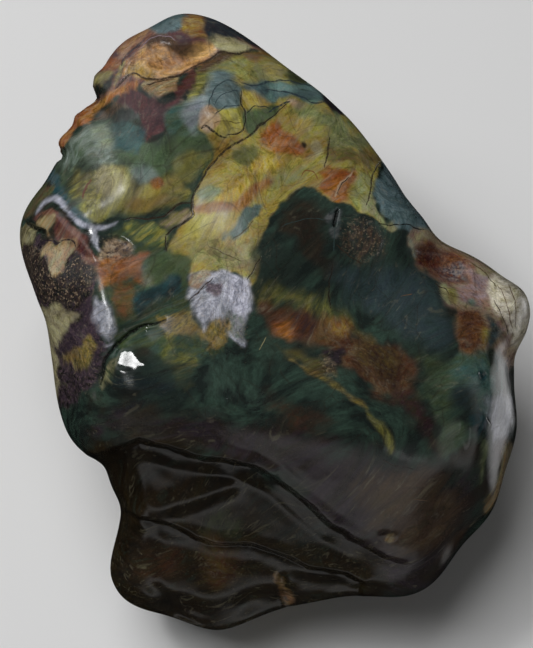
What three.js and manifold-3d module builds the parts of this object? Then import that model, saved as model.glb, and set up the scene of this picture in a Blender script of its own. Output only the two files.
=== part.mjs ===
// A polished chunk of picture jasper, about as long as a hand: one solid stone with a knob and a
// hollow at its top, a broad upper face, a rounded belly whose underside ends in a ledge, a
// terrace and a lower lobe below it, and a blunt nose at its right side. It lies on a flat spot
// that is ground on its back.
//
// The form is written as seen from the front: u runs to the right, v up and w towards the viewer,
// in millimetres from the middle of the stone. The last step lays the stone down on its flat spot.

import * as THREE from "three";
import { mergeVertices } from "three/addons/utils/BufferGeometryUtils.js";
import Module from "manifold-3d";

// The view from the front looks down on the lying stone at this angle.
const VIEW_ELEVATION = THREE.MathUtils.degToRad(65);
const REST_DEPTH = 34.2; // from the stone's middle to its flat spot
const MESH_DETAIL = 21; // gives 20 * 22 * 22 triangles
const FRONT_CROWDING = 0.28; // share by which the mesh is finer on the front
const EDGE_ROUNDING = 7; // the lower, the rounder the edges between the faces
const CUTTER_SIZE = 200;

// The silhouette from the front, anticlockwise from the nose, as [u, v].
const OUTLINE = [
  [49.2, 2.6],
  [47.6, 6.2],
  [43.1, 8.8],
  [37.7, 12.3],
  [31.8, 15.8],
  [28.8, 20.8],
  [24.6, 26.7],
  [18.5, 33.8],
  [13.1, 41.0],
  [8.1, 46.9],
  [0.0, 52.6],
  [-7.9, 56.4],
  [-13.5, 58.0],
  [-18.3, 58.3],
  [-22.5, 57.0],
  [-28.1, 54.4],
  [-32.1, 49.6],
  [-33.8, 45.8],
  [-34.4, 42.5],
  [-37.7, 39.6],
  [-40.1, 35.4],
  [-40.2, 33.1],
  [-42.7, 28.1],
  [-46.2, 23.3],
  [-47.8, 18.3],
  [-47.7, 11.9],
  [-45.8, 5.2],
  [-43.8, 0.8],
  [-42.3, -6.3],
  [-40.8, -15.2],
  [-38.3, -22.5],
  [-35.2, -25.6],
  [-32.5, -27.1],
  [-31.2, -31.0],
  [-29.3, -36.0],
  [-30.8, -45.4],
  [-29.0, -50.8],
  [-26.0, -53.6],
  [-19.8, -56.0],
  [-11.0, -58.4],
  [-4.8, -57.3],
  [3.3, -54.6],
  [14.4, -52.5],
  [18.1, -52.2],
  [25.0, -51.0],
  [33.3, -46.2],
  [37.7, -41.5],
  [42.5, -35.4],
  [45.0, -27.7],
  [46.6, -19.2],
  [46.5, -9.8],
  [46.5, -5.8],
  [48.4, -1.5],
];

// The broad faces of the chunk: the way each one looks, and how far it lies from the middle.
const FACES = [
  { name: "upper face", towards: [0.05, 0.42, 0.9], distance: 25 },
  { name: "belly crown", towards: [0.02, -0.06, 1.0], distance: 34 },
  { name: "belly underside", towards: [0.1, -0.55, 0.83], distance: 39.5 },
  { name: "left flank", towards: [-0.8, 0.05, 0.6], distance: 39.5 },
  { name: "right flank", towards: [0.78, 0.0, 0.62], distance: 44 },
  {
    name: "rest face",
    towards: [0, -Math.cos(VIEW_ELEVATION), -Math.sin(VIEW_ELEVATION)],
    distance: 36.5,
  },
  { name: "lower back", towards: [0.05, -0.75, -0.66], distance: 42 },
  { name: "upper back", towards: [0.1, 0.6, -0.8], distance: 37 },
  { name: "left back", towards: [-0.72, -0.1, -0.69], distance: 37.5 },
  { name: "right back", towards: [0.7, 0.15, -0.7], distance: 38.5 },
];

// Steps in the front: everything on the lower side of the line [u, v, drop] lies deeper by drop.
const LEDGES = [
  {
    name: "belly rim",
    softness: 3.0,
    line: [
      [-38.0, -26.0, 5.0],
      [-32.0, -25.6, 6.0],
      [-24.0, -22.0, 6.0],
      [-19.5, -23.2, 7.0],
      [-12.0, -25.0, 7.5],
      [-3.2, -26.8, 7.5],
      [0.5, -28.8, 7.5],
      [5.5, -33.2, 7.0],
      [11.0, -37.8, 6.0],
      [17.0, -41.4, 4.5],
      [21.0, -44.0, 2.0],
      [26.0, -46.0, 0.0],
    ],
  },
  {
    name: "terrace rim",
    softness: 2.4,
    line: [
      [-34.0, -35.6, 2.6],
      [-25.5, -36.4, 3.0],
      [-16.5, -39.4, 2.6],
      [-10.5, -41.6, 3.2],
      [-4.0, -41.8, 3.4],
      [1.0, -43.4, 3.4],
      [7.0, -46.6, 3.4],
      [14.2, -47.4, 3.6],
      [17.5, -49.2, 3.4],
      [16.6, -53.5, 3.0],
    ],
  },
];

// Raised ridges and sunken grooves of the front: a line [u, v], its half width and its height.
const RIDGES = [
  {
    name: "orange ridge",
    width: 3.0,
    height: 2.6,
    line: [
      [-42.0, 33.0],
      [-37.0, 38.0],
      [-30.0, 43.0],
      [-23.0, 46.4],
    ],
  },
  {
    name: "neck groove",
    width: 2.4,
    height: -3.2,
    line: [
      [-36.0, 43.4],
      [-29.0, 46.4],
      [-22.0, 48.4],
      [-14.0, 49.4],
      [-6.0, 52.0],
    ],
  },
  {
    name: "left shoulder",
    width: 4.0,
    height: 1.6,
    line: [
      [-41.0, 24.0],
      [-36.0, 20.0],
      [-32.5, 13.0],
      [-31.0, 3.0],
      [-30.0, -4.0],
    ],
  },
  {
    name: "cheek valley",
    width: 4.5,
    height: -1.5,
    line: [
      [-32.0, 17.0],
      [-25.0, 17.5],
      [-17.5, 18.5],
      [-14.4, 24.8],
      [-11.5, 29.8],
      [-5.2, 34.8],
      [2.0, 40.0],
    ],
  },
  {
    name: "terrace fold",
    width: 1.8,
    height: 1.2,
    line: [
      [-21.0, -34.2],
      [-15.0, -32.4],
      [-8.0, -29.8],
    ],
  },
  {
    name: "belly bar",
    width: 8.0,
    height: 2.4,
    line: [
      [-29.0, -12.0],
      [-10.0, -15.0],
      [10.0, -18.0],
      [28.0, -26.0],
    ],
  },
  {
    name: "deep left crack",
    width: 1.6,
    height: -1.8,
    line: [
      [-21.5, -0.8],
      [-27.0, -2.4],
      [-30.6, -6.6],
      [-32.2, -12.4],
    ],
  },
];

// Lumps and hollows of the front: middle [u, v], half sizes, turn in degrees and height.
const LUMPS = [
  { name: "knob", at: [-20, 52], half: [13, 7], turn: 15, height: 3.0 },
  { name: "knob hollow", at: [-16.5, 49.8], half: [7.5, 4.2], turn: 18, height: -3.4 },
  { name: "cheek", at: [-26, 28.5], half: [12, 8], turn: -8, height: 2.6 },
  { name: "eye hollow", at: [-38.5, 15], half: [5, 5], turn: 0, height: -1.8 },
  { name: "nose hollow", at: [32.5, 10], half: [6.5, 3.6], turn: -24, height: -4.4 },
  { name: "nose saddle", at: [39, 0], half: [5, 7], turn: -30, height: -2.4 },
  { name: "nose", at: [46, 4], half: [5, 6], turn: -30, height: 2.2 },
  { name: "right shoulder", at: [24, 18], half: [9, 5], turn: -50, height: 1.6 },
  { name: "mushroom swell", at: [13, 16], half: [12, 6], turn: 8, height: 1.2 },
  { name: "right hip", at: [38, -18], half: [7, 13], turn: 8, height: 2.4 },
  { name: "hip crease", at: [33, -17], half: [2.6, 9], turn: 12, height: -1.6 },
  { name: "front dish", at: [14, 4], half: [14, 8], turn: -12, height: -1.6 },
  { name: "upper swell", at: [4, 26], half: [15, 12], turn: 30, height: 1.4 },
  { name: "lobe hollow", at: [-8, -50], half: [9, 4], turn: -8, height: -1.4 },
];

// Lumps and hollows of the hidden back, written in the same way and seen through the stone.
const BACK_LUMPS = [
  { name: "back saddle", at: [8, 24], half: [20, 8], turn: 24, height: 4.0 },
  { name: "back hollow", at: [24, 8], half: [8, 12], turn: -20, height: 3.2 },
  { name: "back swell", at: [-22, 16], half: [12, 12], turn: 0, height: -2.4 },
  { name: "back dimple", at: [-28, 34], half: [5, 4], turn: 30, height: 2.2 },
];

// Long shallow waves that keep any face of the worn stone from being truly flat.
const WAVES = [
  { along: [0.16, 0.07, 0.05], start: 0.4, height: 0.5 },
  { along: [-0.06, 0.19, 0.1], start: 2.1, height: 0.45 },
  { along: [0.11, -0.12, 0.21], start: 4.0, height: 0.4 },
  { along: [-0.29, -0.16, 0.12], start: 1.2, height: 0.22 },
  { along: [0.21, 0.31, -0.17], start: 5.3, height: 0.2 },
];
const RELIEF_BLEND = 17; // depth over which the relief fades in from the silhouette

const outlineCurve = new THREE.CatmullRomCurve3(
  OUTLINE.map(([u, v]) => new THREE.Vector3(u, v, 0)),
  true,
);
const OUTLINE_STEPS = 720;
const outlinePoints = outlineCurve.getPoints(OUTLINE_STEPS);

// Distance from the middle to the silhouette, in the direction of an angle about w.
function outlineRadius(angle) {
  const ray = new THREE.Vector2(Math.cos(angle), Math.sin(angle));
  for (let i = 0; i < OUTLINE_STEPS; i++) {
    const a = outlinePoints[i];
    const b = outlinePoints[i + 1];
    const sideA = ray.x * a.y - ray.y * a.x;
    const sideB = ray.x * b.y - ray.y * b.x;
    const ahead = ray.x * (a.x + b.x) + ray.y * (a.y + b.y) > 0;
    if (ahead && sideA <= 0 && sideB > 0) {
      const share = sideA / (sideA - sideB);
      return Math.hypot(a.x + (b.x - a.x) * share, a.y + (b.y - a.y) * share);
    }
  }
  throw new Error("the outline does not go round the middle");
}

// The body without relief: the silhouette's wall and the broad faces, met in rounded edges.
function bodyPoint(direction) {
  const across = Math.hypot(direction.x, direction.y);
  const wall = across > 1e-6 ? across / outlineRadius(Math.atan2(direction.y, direction.x)) : 0;
  let sum = wall ** EDGE_ROUNDING;
  for (const face of FACES) {
    const normal = new THREE.Vector3(...face.towards).normalize();
    sum += Math.max(0, direction.dot(normal) / face.distance) ** EDGE_ROUNDING;
  }
  return direction.clone().multiplyScalar(sum ** (-1 / EDGE_ROUNDING));
}

// The rounded edges pull the body in from its silhouette. For each angle about w, these factors
// bring its widest place back out to the outline.
const WIDENING_STEPS = 360;
const DEPTH_STEPS = 24;
const widening = Array.from({ length: WIDENING_STEPS }, (_, step) => {
  const angle = (step / WIDENING_STEPS) * 2 * Math.PI;
  let widest = 0;
  for (let depth = -DEPTH_STEPS; depth <= DEPTH_STEPS; depth++) {
    const slope = (depth / DEPTH_STEPS) * (Math.PI / 4);
    const flat = new THREE.Vector3(Math.cos(angle), Math.sin(angle), Math.tan(slope));
    const point = bodyPoint(flat.normalize());
    widest = Math.max(widest, Math.hypot(point.x, point.y));
  }
  return outlineRadius(angle) / widest;
});

function widenedPoint(direction) {
  const point = bodyPoint(direction);
  const turn = Math.atan2(direction.y, direction.x) / (2 * Math.PI);
  const place = (turn < 0 ? turn + 1 : turn) * WIDENING_STEPS;
  const before = Math.floor(place) % WIDENING_STEPS;
  const after = (before + 1) % WIDENING_STEPS;
  const factor = THREE.MathUtils.lerp(widening[before], widening[after], place % 1);
  point.x *= factor;
  point.y *= factor;
  return point;
}

// The nearest place on a line of points to (u, v): its distance, on which side, and the third
// value of the line's points there.
function nearestOnLine(line, u, v) {
  let best = { distance: Infinity, side: 1, value: 0 };
  for (let i = 0; i + 1 < line.length; i++) {
    const [au, av, aValue = 0] = line[i];
    const [bu, bv, bValue = 0] = line[i + 1];
    const du = bu - au;
    const dv = bv - av;
    const share = THREE.MathUtils.clamp(
      ((u - au) * du + (v - av) * dv) / (du * du + dv * dv),
      0,
      1,
    );
    const distance = Math.hypot(u - au - du * share, v - av - dv * share);
    if (distance < best.distance) {
      const side = du * (v - av) - dv * (u - au) >= 0 ? 1 : -1;
      best = { distance, side, value: aValue + (bValue - aValue) * share };
    }
  }
  return best;
}

function lumpHeight(lump, u, v) {
  const turn = THREE.MathUtils.degToRad(lump.turn);
  const du = u - lump.at[0];
  const dv = v - lump.at[1];
  const along = (du * Math.cos(turn) + dv * Math.sin(turn)) / lump.half[0];
  const aside = (dv * Math.cos(turn) - du * Math.sin(turn)) / lump.half[1];
  return lump.height * Math.exp(-(along * along + aside * aside));
}

// How far the front stands out towards the viewer at (u, v), beyond the body.
function frontRelief(u, v) {
  let height = 0;
  for (const ledge of LEDGES) {
    const near = nearestOnLine(ledge.line, u, v);
    const above = near.side * near.distance;
    height -= near.value * (1 - THREE.MathUtils.smoothstep(above, -ledge.softness, ledge.softness));
  }
  for (const ridge of RIDGES) {
    const near = nearestOnLine(ridge.line, u, v);
    height += ridge.height * Math.exp(-((near.distance / ridge.width) ** 2));
  }
  for (const lump of LUMPS) height += lumpHeight(lump, u, v);
  return height;
}

function backRelief(u, v) {
  return BACK_LUMPS.reduce((height, lump) => height + lumpHeight(lump, u, v), 0);
}

// A point of the stone's skin in the given direction from its middle.
function skinPoint(direction) {
  const point = widenedPoint(direction);
  for (const wave of WAVES) {
    const swell = wave.height * Math.sin(point.dot(new THREE.Vector3(...wave.along)) + wave.start);
    point.addScaledVector(direction, swell);
  }
  const front = THREE.MathUtils.smoothstep(point.z, 0, RELIEF_BLEND);
  const back = THREE.MathUtils.smoothstep(-point.z, 0, RELIEF_BLEND);
  point.z += front * frontRelief(point.x, point.y) + back * backRelief(point.x, point.y);
  return point;
}

// An even ball mesh whose vertices are crowded towards the front and moved out to the skin.
function skinGeometry() {
  const geometry = new THREE.IcosahedronGeometry(1, MESH_DETAIL);
  geometry.deleteAttribute("normal");
  geometry.deleteAttribute("uv");
  const merged = mergeVertices(geometry, 1e-5);
  const places = merged.getAttribute("position");
  const direction = new THREE.Vector3();
  for (let i = 0; i < places.count; i++) {
    direction.fromBufferAttribute(places, i);
    direction.z += FRONT_CROWDING * (1 - direction.z * direction.z);
    const point = skinPoint(direction.normalize());
    places.setXYZ(i, point.x, point.y, point.z);
  }
  return merged;
}

// Turns the front view's u, v, w to X, Y, Z, with the flat spot facing down.
function layDown(geometry) {
  return geometry.rotateX(Math.PI / 2 - VIEW_ELEVATION);
}

const wasm = await Module();
wasm.setup();

function toManifold(geometry) {
  return new wasm.Manifold(
    new wasm.Mesh({
      numProp: 3,
      vertProperties: new Float32Array(geometry.getAttribute("position").array),
      triVerts: new Uint32Array(geometry.index.array),
    }),
  );
}

function toGeometry(manifold) {
  const mesh = manifold.getMesh();
  return new THREE.BufferGeometry()
    .setAttribute("position", new THREE.BufferAttribute(mesh.vertProperties, 3))
    .setIndex(new THREE.BufferAttribute(mesh.triVerts, 1));
}

// Everything under the flat spot's plane, as one block.
function groundBlock() {
  const box = new THREE.BoxGeometry(CUTTER_SIZE, CUTTER_SIZE, CUTTER_SIZE);
  box.translate(0, 0, -CUTTER_SIZE / 2 - REST_DEPTH);
  box.deleteAttribute("normal");
  box.deleteAttribute("uv");
  return mergeVertices(box, 1e-5);
}

function stoneGeometry() {
  const lying = layDown(skinGeometry());
  const geometry = toGeometry(toManifold(lying).subtract(toManifold(groundBlock())));
  geometry.computeBoundingBox();
  const { min, max } = geometry.boundingBox;
  geometry.translate(-(min.x + max.x) / 2, -(min.y + max.y) / 2, -min.z);
  geometry.computeVertexNormals();
  return geometry;
}

const stoneMaterial = new THREE.MeshStandardMaterial({
  color: new THREE.Color(0.16, 0.17, 0.08),
  roughness: 0.16,
  metalness: 0,
});

const stone = new THREE.Mesh(stoneGeometry(), stoneMaterial);
stone.name = "stone";

const group = new THREE.Group();
group.add(stone);

export default group;
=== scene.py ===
"""A polished chunk of picture jasper, lying on its flat spot and seen from above its front.

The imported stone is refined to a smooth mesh, its ledges and cracks are cut crisply, and its
markings are painted by named outlines, written in the photograph's frame of 533 by 648 pixels.
Patches are carried on the mesh as colours and lines as distances, and the shader mottles them.
"""

import math

import bpy
import numpy as np
from mathutils import Matrix


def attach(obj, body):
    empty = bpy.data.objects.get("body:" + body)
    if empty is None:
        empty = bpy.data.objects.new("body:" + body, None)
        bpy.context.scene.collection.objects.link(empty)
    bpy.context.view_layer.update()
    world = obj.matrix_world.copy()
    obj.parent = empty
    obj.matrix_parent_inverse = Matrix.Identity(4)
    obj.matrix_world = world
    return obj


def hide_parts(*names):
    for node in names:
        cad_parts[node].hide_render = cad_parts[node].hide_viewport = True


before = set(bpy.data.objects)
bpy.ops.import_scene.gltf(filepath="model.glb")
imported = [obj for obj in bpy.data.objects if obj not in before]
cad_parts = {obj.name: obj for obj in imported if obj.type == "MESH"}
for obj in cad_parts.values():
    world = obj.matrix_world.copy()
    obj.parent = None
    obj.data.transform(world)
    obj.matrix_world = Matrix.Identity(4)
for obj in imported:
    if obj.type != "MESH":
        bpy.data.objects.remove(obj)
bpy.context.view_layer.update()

MM = 0.001

# The front's own directions: across to the right, up, and out towards the viewer.
VIEW_ELEVATION = math.radians(65.0)
ACROSS = np.array([1.0, 0.0, 0.0])
UP = np.array([0.0, math.sin(VIEW_ELEVATION), math.cos(VIEW_ELEVATION)])
OUT = np.array([0.0, -math.cos(VIEW_ELEVATION), math.sin(VIEW_ELEVATION)])

# The middle of the stone's form lies this far above its flat spot, and the outline's own middle
# lies this far from it across and up.
REST_DEPTH = 34.2
OUTLINE_MIDDLE = (0.7, -0.05)

# The photograph: its frame, its scale at the stone's middle, and the place it looks straight at.
PHOTO_WIDTH = 533
PHOTO_HEIGHT = 648
PIXELS_PER_MM = 5.2
PHOTO_MIDDLE = (270.0, 320.0)
CAMERA_DISTANCE = 560.0
SENSOR = 36.0

# Where the middle of the frame lies from the front's middle, in mm across and up
FRAME_SHIFT = (
    (PHOTO_WIDTH / 2 - PHOTO_MIDDLE[0]) / PIXELS_PER_MM,
    (PHOTO_MIDDLE[1] - PHOTO_HEIGHT / 2) / PIXELS_PER_MM,
)

# The way from the stone to the window that lights it: across, up and out
WINDOW_WAY = (-0.50, 0.50, 0.70)

# Stands in for a length of 0 where something is divided by it
TINY = 1e-12


def srgb(code):
    """The linear colour of a hex code."""
    parts = [int(code[i : i + 2], 16) / 255 for i in (1, 3, 5)]
    return tuple(c / 12.92 if c <= 0.04045 else ((c + 0.055) / 1.055) ** 2.4 for c in parts)


def smoothstep(value, low, high):
    """0 below low, 1 above high, and a smooth rise between them."""
    share = np.clip((value - low) / (high - low), 0.0, 1.0)
    return share * share * (3.0 - 2.0 * share)


# The mesh

# Places that agree to so many decimals of a millimetre are one.
SAME_PLACE_DIGITS = 4


def read_mesh(obj):
    """Places in mm and triangles of an object's mesh, with equal places joined."""
    mesh = obj.data
    places = np.empty(len(mesh.vertices) * 3)
    mesh.vertices.foreach_get("co", places)
    places = places.reshape(-1, 3) / MM
    mesh.calc_loop_triangles()
    faces = np.empty(len(mesh.loop_triangles) * 3, dtype=np.int64)
    mesh.loop_triangles.foreach_get("vertices", faces)
    rounded = np.round(places, SAME_PLACE_DIGITS)
    _, first, joined = np.unique(rounded, axis=0, return_index=True, return_inverse=True)
    faces = joined.reshape(-1)[faces].reshape(-1, 3)
    kept = (
        (faces[:, 0] != faces[:, 1]) & (faces[:, 1] != faces[:, 2]) & (faces[:, 2] != faces[:, 0])
    )
    return places[first], faces[kept]


def edge_table(faces):
    """The mesh's edges, the edge of each face side, and the corner across from each side."""
    sides = np.vstack([faces[:, [0, 1]], faces[:, [1, 2]], faces[:, [2, 0]]])
    across = np.concatenate([faces[:, 2], faces[:, 0], faces[:, 1]])
    edges, which = np.unique(np.sort(sides, axis=1), axis=0, return_inverse=True)
    return edges, which.reshape(-1), across


def neighbour_sums(places, edges):
    """The sum of each place's neighbours, and how many there are."""
    sums = np.zeros_like(places)
    np.add.at(sums, edges[:, 0], places[edges[:, 1]])
    np.add.at(sums, edges[:, 1], places[edges[:, 0]])
    return sums, np.bincount(edges.ravel(), minlength=len(places))


def loop_weight(count):
    """What each neighbour counts in Loop's rule, where a place has so many of them."""
    return np.where(count == 3, 3.0 / 16.0, 3.0 / (8.0 * count))


def sharpened(places, faces, rounds=2):
    """Moves the corners out so that the refined surface passes through where they were."""
    edges, _, _ = edge_table(faces)
    moved = places.copy()
    for _ in range(rounds):
        sums, count = neighbour_sums(moved, edges)
        share = 1.0 / (3.0 / (8.0 * loop_weight(count)) + count)
        limit = moved * (1.0 - count * share)[:, None] + sums * share[:, None]
        moved += places - limit
    return moved


# How a face is divided, by which of its sides ab, bc and ca are split (1, 2 and 4): its own corners
# are a, b and c, and the middles of those sides are x, y and z.
SPLIT_PATTERNS = {
    0: ["abc"],
    1: ["axc", "xbc"],
    2: ["aby", "ayc"],
    3: ["xby", "axy", "ayc"],
    4: ["abz", "zbc"],
    5: ["axz", "xbc", "xcz"],
    6: ["zyc", "abz", "zby"],
    7: ["axz", "byx", "czy", "xyz"],
}


def refined(places, faces, chosen):
    """A round of Loop subdivision that splits the chosen faces and fits their neighbours to them."""
    edges, which, across = edge_table(faces)
    split = np.zeros(len(edges), dtype=bool)
    split[which.reshape(3, -1)[:, chosen]] = True
    across_sums = np.zeros((len(edges), 3))
    np.add.at(across_sums, which, places[across])
    # Loop's rule for an edge's middle: 3/8 of each end and 1/8 of each corner across from it
    middles = 0.375 * (places[edges[:, 0]] + places[edges[:, 1]]) + 0.125 * across_sums
    sums, count = neighbour_sums(places, edges)
    weight = loop_weight(count)
    kept = places * (1.0 - count * weight)[:, None] + sums * weight[:, None]
    number = np.cumsum(split) - 1 + len(places)
    ab, bc, ca = which.reshape(3, -1)
    sides = split[ab] * 1 + split[bc] * 2 + split[ca] * 4
    a, b, c = faces.T
    x, y, z = number[ab], number[bc], number[ca]
    pieces = []
    for case in range(8):
        corners = {"a": a, "b": b, "c": c, "x": x, "y": y, "z": z}
        here = sides == case
        for triangle in SPLIT_PATTERNS[case]:
            pieces.append(np.stack([corners[letter][here] for letter in triangle], axis=1))
    return np.vstack([kept, middles[split]]), np.vstack(pieces)


def vertex_normals(places, faces):
    corners = places[faces]
    face_normals = np.cross(corners[:, 1] - corners[:, 0], corners[:, 2] - corners[:, 0])
    normals = np.zeros_like(places)
    for side in range(3):
        np.add.at(normals, faces[:, side], face_normals)
    return normals / np.maximum(np.linalg.norm(normals, axis=1), TINY)[:, None]


stone_places, stone_faces = read_mesh(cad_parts["stone"])

# The front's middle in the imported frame, found from the stone's extents along the front's directions.
rise = stone_places @ UP
front_middle_up = (rise.max() + rise.min()) / 2 - OUTLINE_MIDDLE[1]
FRONT_MIDDLE = np.array([
    (stone_places[:, 0].max() + stone_places[:, 0].min()) / 2 - OUTLINE_MIDDLE[0],
    (front_middle_up - REST_DEPTH * UP[2]) / UP[1],
    REST_DEPTH,
])


def front_coordinates(points):
    """(across, up, out) in mm from the front's middle."""
    away = points - FRONT_MIDDLE
    return away @ ACROSS, away @ UP, away @ OUT


def photo_pixels(points):
    """Where the camera sees the points, in the photograph's frame."""
    u, v, w = front_coordinates(points)
    nearer = CAMERA_DISTANCE / (CAMERA_DISTANCE - w)
    x = PHOTO_WIDTH / 2 + PIXELS_PER_MM * (u - FRAME_SHIFT[0]) * nearer
    y = PHOTO_HEIGHT / 2 - PIXELS_PER_MM * (v - FRAME_SHIFT[1]) * nearer
    return x, y


# The markings

PALETTE = {
    "black": "#101210",
    "green black": "#1a2320",
    "blue black": "#162023",
    "dark green": "#252e28",
    "belly green": "#31443a",
    "moss": "#3f482a",
    "leaf green": "#47583a",
    "grey green": "#46563f",
    "pale green": "#7d8659",
    "teal": "#3c5a56",
    "deep teal": "#1f4247",
    "pale teal": "#607f76",
    "slate": "#43565a",
    "pale slate": "#5f7476",
    "dark slate": "#263238",
    "dim teal": "#2e3d3c",
    "olive": "#4f4b26",
    "olive brown": "#4a3d1e",
    "yellow olive": "#8a8440",
    "yellow": "#a89a48",
    "gold": "#b08f38",
    "ochre": "#8f7638",
    "orange": "#95592a",
    "orange brown": "#8f6538",
    "rust": "#704424",
    "dark rust": "#4a2a16",
    "red brown": "#5a2a20",
    "brown": "#5c4530",
    "dark brown": "#30241a",
    "umber": "#241d16",
    "bark": "#16130c",
    "bronze": "#241b0c",
    "peach": "#c6965f",
    "tan": "#987550",
    "terracotta": "#7c5240",
    "pink": "#86665a",
    "pink beige": "#a08a72",
    "mauve": "#83727c",
    "lilac": "#8b8d9a",
    "purple": "#443640",
    "dark purple": "#2c242c",
    "maroon": "#522e30",
    "dark maroon": "#351e24",
    "khaki": "#8f8864",
    "cream": "#a39c74",
    "pale cream": "#b0a888",
    "bone": "#e6dfcd",
    "veil": "#7f8c86",
    "quartz": "#c3c5d2",
    "grey": "#77787a",
}

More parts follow.
